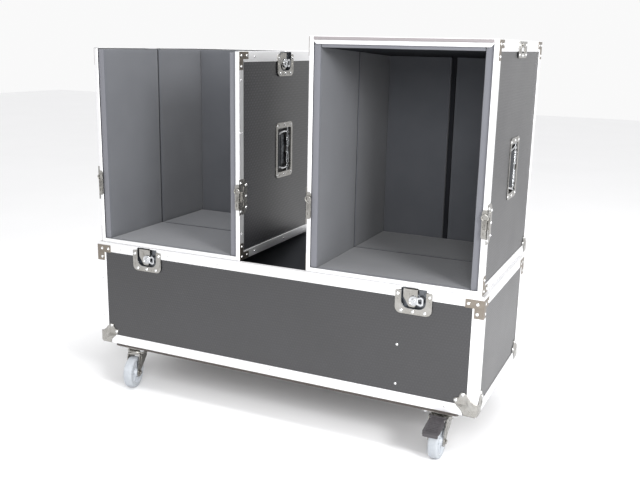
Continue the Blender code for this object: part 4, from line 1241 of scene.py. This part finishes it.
SEAM_SHARE = 0.53
SEAM_GAP = 5.6 * MM
SEAM_SUNK = 1.2 * MM
FLOOR_MAT = 4 * MM
CEILING_LIP = 12 * MM
STRIP_LOW, STRIP_HIGH = 350.5 * MM, 366.5 * MM
for hood, (low, high, middle_y) in hoods.items():
    closed = hood == "hood_right"
    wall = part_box(f"{hood}_lining" if closed else f"{hood}_lining_left")
    foam_front, foam_low, foam_top = wall[0][1], wall[0][2], wall[1][2]
    inset = wall[0][0] - low.x
    foam_back = high.y - inset
    outer_low, outer_high = low.x + inset, high.x - inset
    inner_low, inner_high = outer_low + FOAM + 0.3 * MM, outer_high - FOAM - 0.3 * MM
    inner_back = foam_back - FOAM - 0.3 * MM
    seam = foam_front + SEAM_SHARE * (inner_back - foam_front)
    handle_z = low.z + HANDLE_Z
    linings = {"left": [f"{hood}_lining_left"], "right": [f"{hood}_lining_right"], "floor": [f"{hood}_lining"]}
    if closed:
        linings = {"floor": [f"{hood}_lining"]}
    for name, x, side in (("left", outer_low, -1), ("right", outer_high - FOAM, 1)):
        pocket = (0, side, Vector((0, middle_y - 46.5 * MM, handle_z - 70.5 * MM)),
                  Vector((0, middle_y + 46.5 * MM, handle_z + 70.5 * MM)), 4.6 * MM)
        add_foam(f"{hood}_foam_{name}_front", (x, foam_front, foam_low), (x + FOAM, seam - SEAM_GAP, foam_top), hood,
                 linings.get(name, ()), pocket)
        add_foam(f"{hood}_foam_{name}_rear", (x, seam, foam_low), (x + FOAM, foam_back, foam_top), hood, (), pocket)
        # Dark foam at the bottom of each wall's groove: painted shade of the groove.
        inset_low, inset_high = sorted((x + (FOAM if side < 0 else 0) + side * SEAM_SUNK, x + FOAM / 2))
        add_foam(f"{hood}_foam_{name}_seam", (inset_low, seam - SEAM_GAP, foam_low), (inset_high, seam, foam_top),
                 hood, finish=dark_foam_painted_shade)
    mat_top = foam_low + FLOOR_MAT
    add_foam(f"{hood}_foam_floor_front", (inner_low, foam_front, foam_low), (inner_high, seam - SEAM_GAP, mat_top),
             hood, linings["floor"])
    add_foam(f"{hood}_foam_floor_rear", (inner_low, seam, foam_low), (inner_high, inner_back, mat_top), hood)
    # The floor's groove gets the same dark foam: painted shade.
    add_foam(f"{hood}_foam_floor_seam", (inner_low, seam - SEAM_GAP, foam_low),
             (inner_high, seam, mat_top - SEAM_SUNK), hood, finish=dark_foam_painted_shade)
    if closed:
        add_foam(f"{hood}_foam_ceiling_edge", (inner_low, foam_front, foam_top - FOAM + 3 * MM),
                 (inner_high, foam_front + CEILING_LIP, foam_top), hood)
        # The ceiling sheet is dark foam: partly a darker foam, partly the deep shade under the ceiling painted into
        # it.
        add_foam(f"{hood}_foam_ceiling", (inner_low, foam_front + CEILING_LIP + 0.3 * MM, foam_top - FOAM + 3 * MM),
                 (inner_high, inner_back, foam_top), hood, finish=dark_foam_painted_shade, sag=24 * MM)
        back_y = inner_back + 0.3 * MM
        add_foam(f"{hood}_foam_back_left", (inner_low, back_y, foam_low), (STRIP_LOW, foam_back, foam_top), hood)
        add_foam(f"{hood}_foam_back_right", (STRIP_HIGH, back_y, foam_low), (inner_high, foam_back, foam_top), hood)
        # A dark strip sunk 2 mm between the back sheets: the dark board at the back of the gap, with the shade in the
        # gap painted in.
        add_foam(f"{hood}_foam_back_strip", (STRIP_LOW, back_y + 2 * MM, foam_low), (STRIP_HIGH, foam_back, foam_top),
                 hood, finish=dark_foam_painted_shade)
    else:
        add_foam(f"{hood}_foam_back", (inner_low, inner_back + 0.3 * MM, foam_low), (inner_high, foam_back, foam_top),
                 hood)

lining_low, lining_high = (Vector(corner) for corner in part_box("tray_lining"))
bays = {"main": (lining_low.x, divider_low.x - 0.3 * MM), "cable": (divider_high.x + 0.3 * MM, lining_high.x)}
for name, (start, end) in bays.items():
    main = name == "main"
    add_foam(f"tray_foam_{name}_front", (start, lining_low.y, lining_low.z),
             (end, lining_low.y + FOAM, lining_high.z), "tray", ["tray_lining"] if main else ())
    add_foam(f"tray_foam_{name}_back", (start, lining_high.y - FOAM, lining_low.z),
             (end, lining_high.y, lining_high.z), "tray")
    floor_start = start + (FOAM + 0.3 * MM if main else 0)
    floor_end = end - (0 if main else FOAM + 0.3 * MM)
    add_foam(f"tray_foam_{name}_floor", (floor_start, lining_low.y + FOAM + 0.3 * MM, lining_low.z),
             (floor_end, lining_high.y - FOAM - 0.3 * MM, lining_low.z + FOAM), "tray")
for name, x in (("left_end", lining_low.x), ("right_end", lining_high.x - FOAM)):
    add_foam(f"tray_foam_{name}", (x, lining_low.y + FOAM + 0.3 * MM, lining_low.z),
             (x + FOAM, lining_high.y - FOAM - 0.3 * MM, lining_high.z), "tray")

# ------------------------------------------------------------------ floor, light and camera
# A pale studio floor and soft lights, with the camera above and to the right of the case.

floor_paint = plain_finish("pale_floor_paint", {}, 1.5, ("f2f2f3", "f6f6f7"), (0.75, 0.85))
floor_mesh = bmesh.new()
bmesh.ops.create_grid(floor_mesh, x_segments=8, y_segments=8, size=12)
mesh = bpy.data.meshes.new("studio_floor")
floor_mesh.to_mesh(mesh)
floor_mesh.free()
mesh.materials.append(floor_paint)
studio_floor = bpy.data.objects.new("studio_floor", mesh)
bpy.context.collection.objects.link(studio_floor)

world = bpy.data.worlds.new("soft_white_studio")
world.use_nodes = True
world.node_tree.nodes["Background"].inputs["Color"].default_value = linear("ffffff")
world.node_tree.nodes["Background"].inputs["Strength"].default_value = 0.95
bpy.context.scene.world = world


def add_softbox(name, place, target, size, power):
    data = bpy.data.lights.new(name, "AREA")
    data.shape = "RECTANGLE"
    data.size, data.size_y = size
    data.energy = power
    lamp = bpy.data.objects.new(name, data)
    lamp.location = place
    lamp.rotation_euler = (Vector(target) - Vector(place)).to_track_quat("-Z", "Y").to_euler()
    bpy.context.collection.objects.link(lamp)


add_softbox("key_light", (2.7, -1.75, 1.9), (0, 0, 0.6), (0.8, 0.8), 66)
add_softbox("large_side_light", (3.4, -0.6, 1.8), (0.3, 0, 0.6), (2.2, 2.2), 30)
add_softbox("camera_side_light", (1.2, -3.2, 2.0), (0, 0, 0.6), (1.2, 1.2), 50)
add_softbox("overhead_light", (0.02, -0.3, 3.4), (0.0, 0, 0.2), (0.7, 0.7), 34)
bpy.context.scene.view_settings.view_transform = "Standard"

camera_data = bpy.data.cameras.new("camera")
camera_data.lens = 45.436
camera_data.sensor_width = 36.0
camera = bpy.data.objects.new("camera", camera_data)
camera.location = (1.0654, -2.2362, 1.1031)
camera.rotation_euler = [math.radians(turn) for turn in (76.398, -1.145, 24.933)]
bpy.context.collection.objects.link(camera)
bpy.context.scene.camera = camera
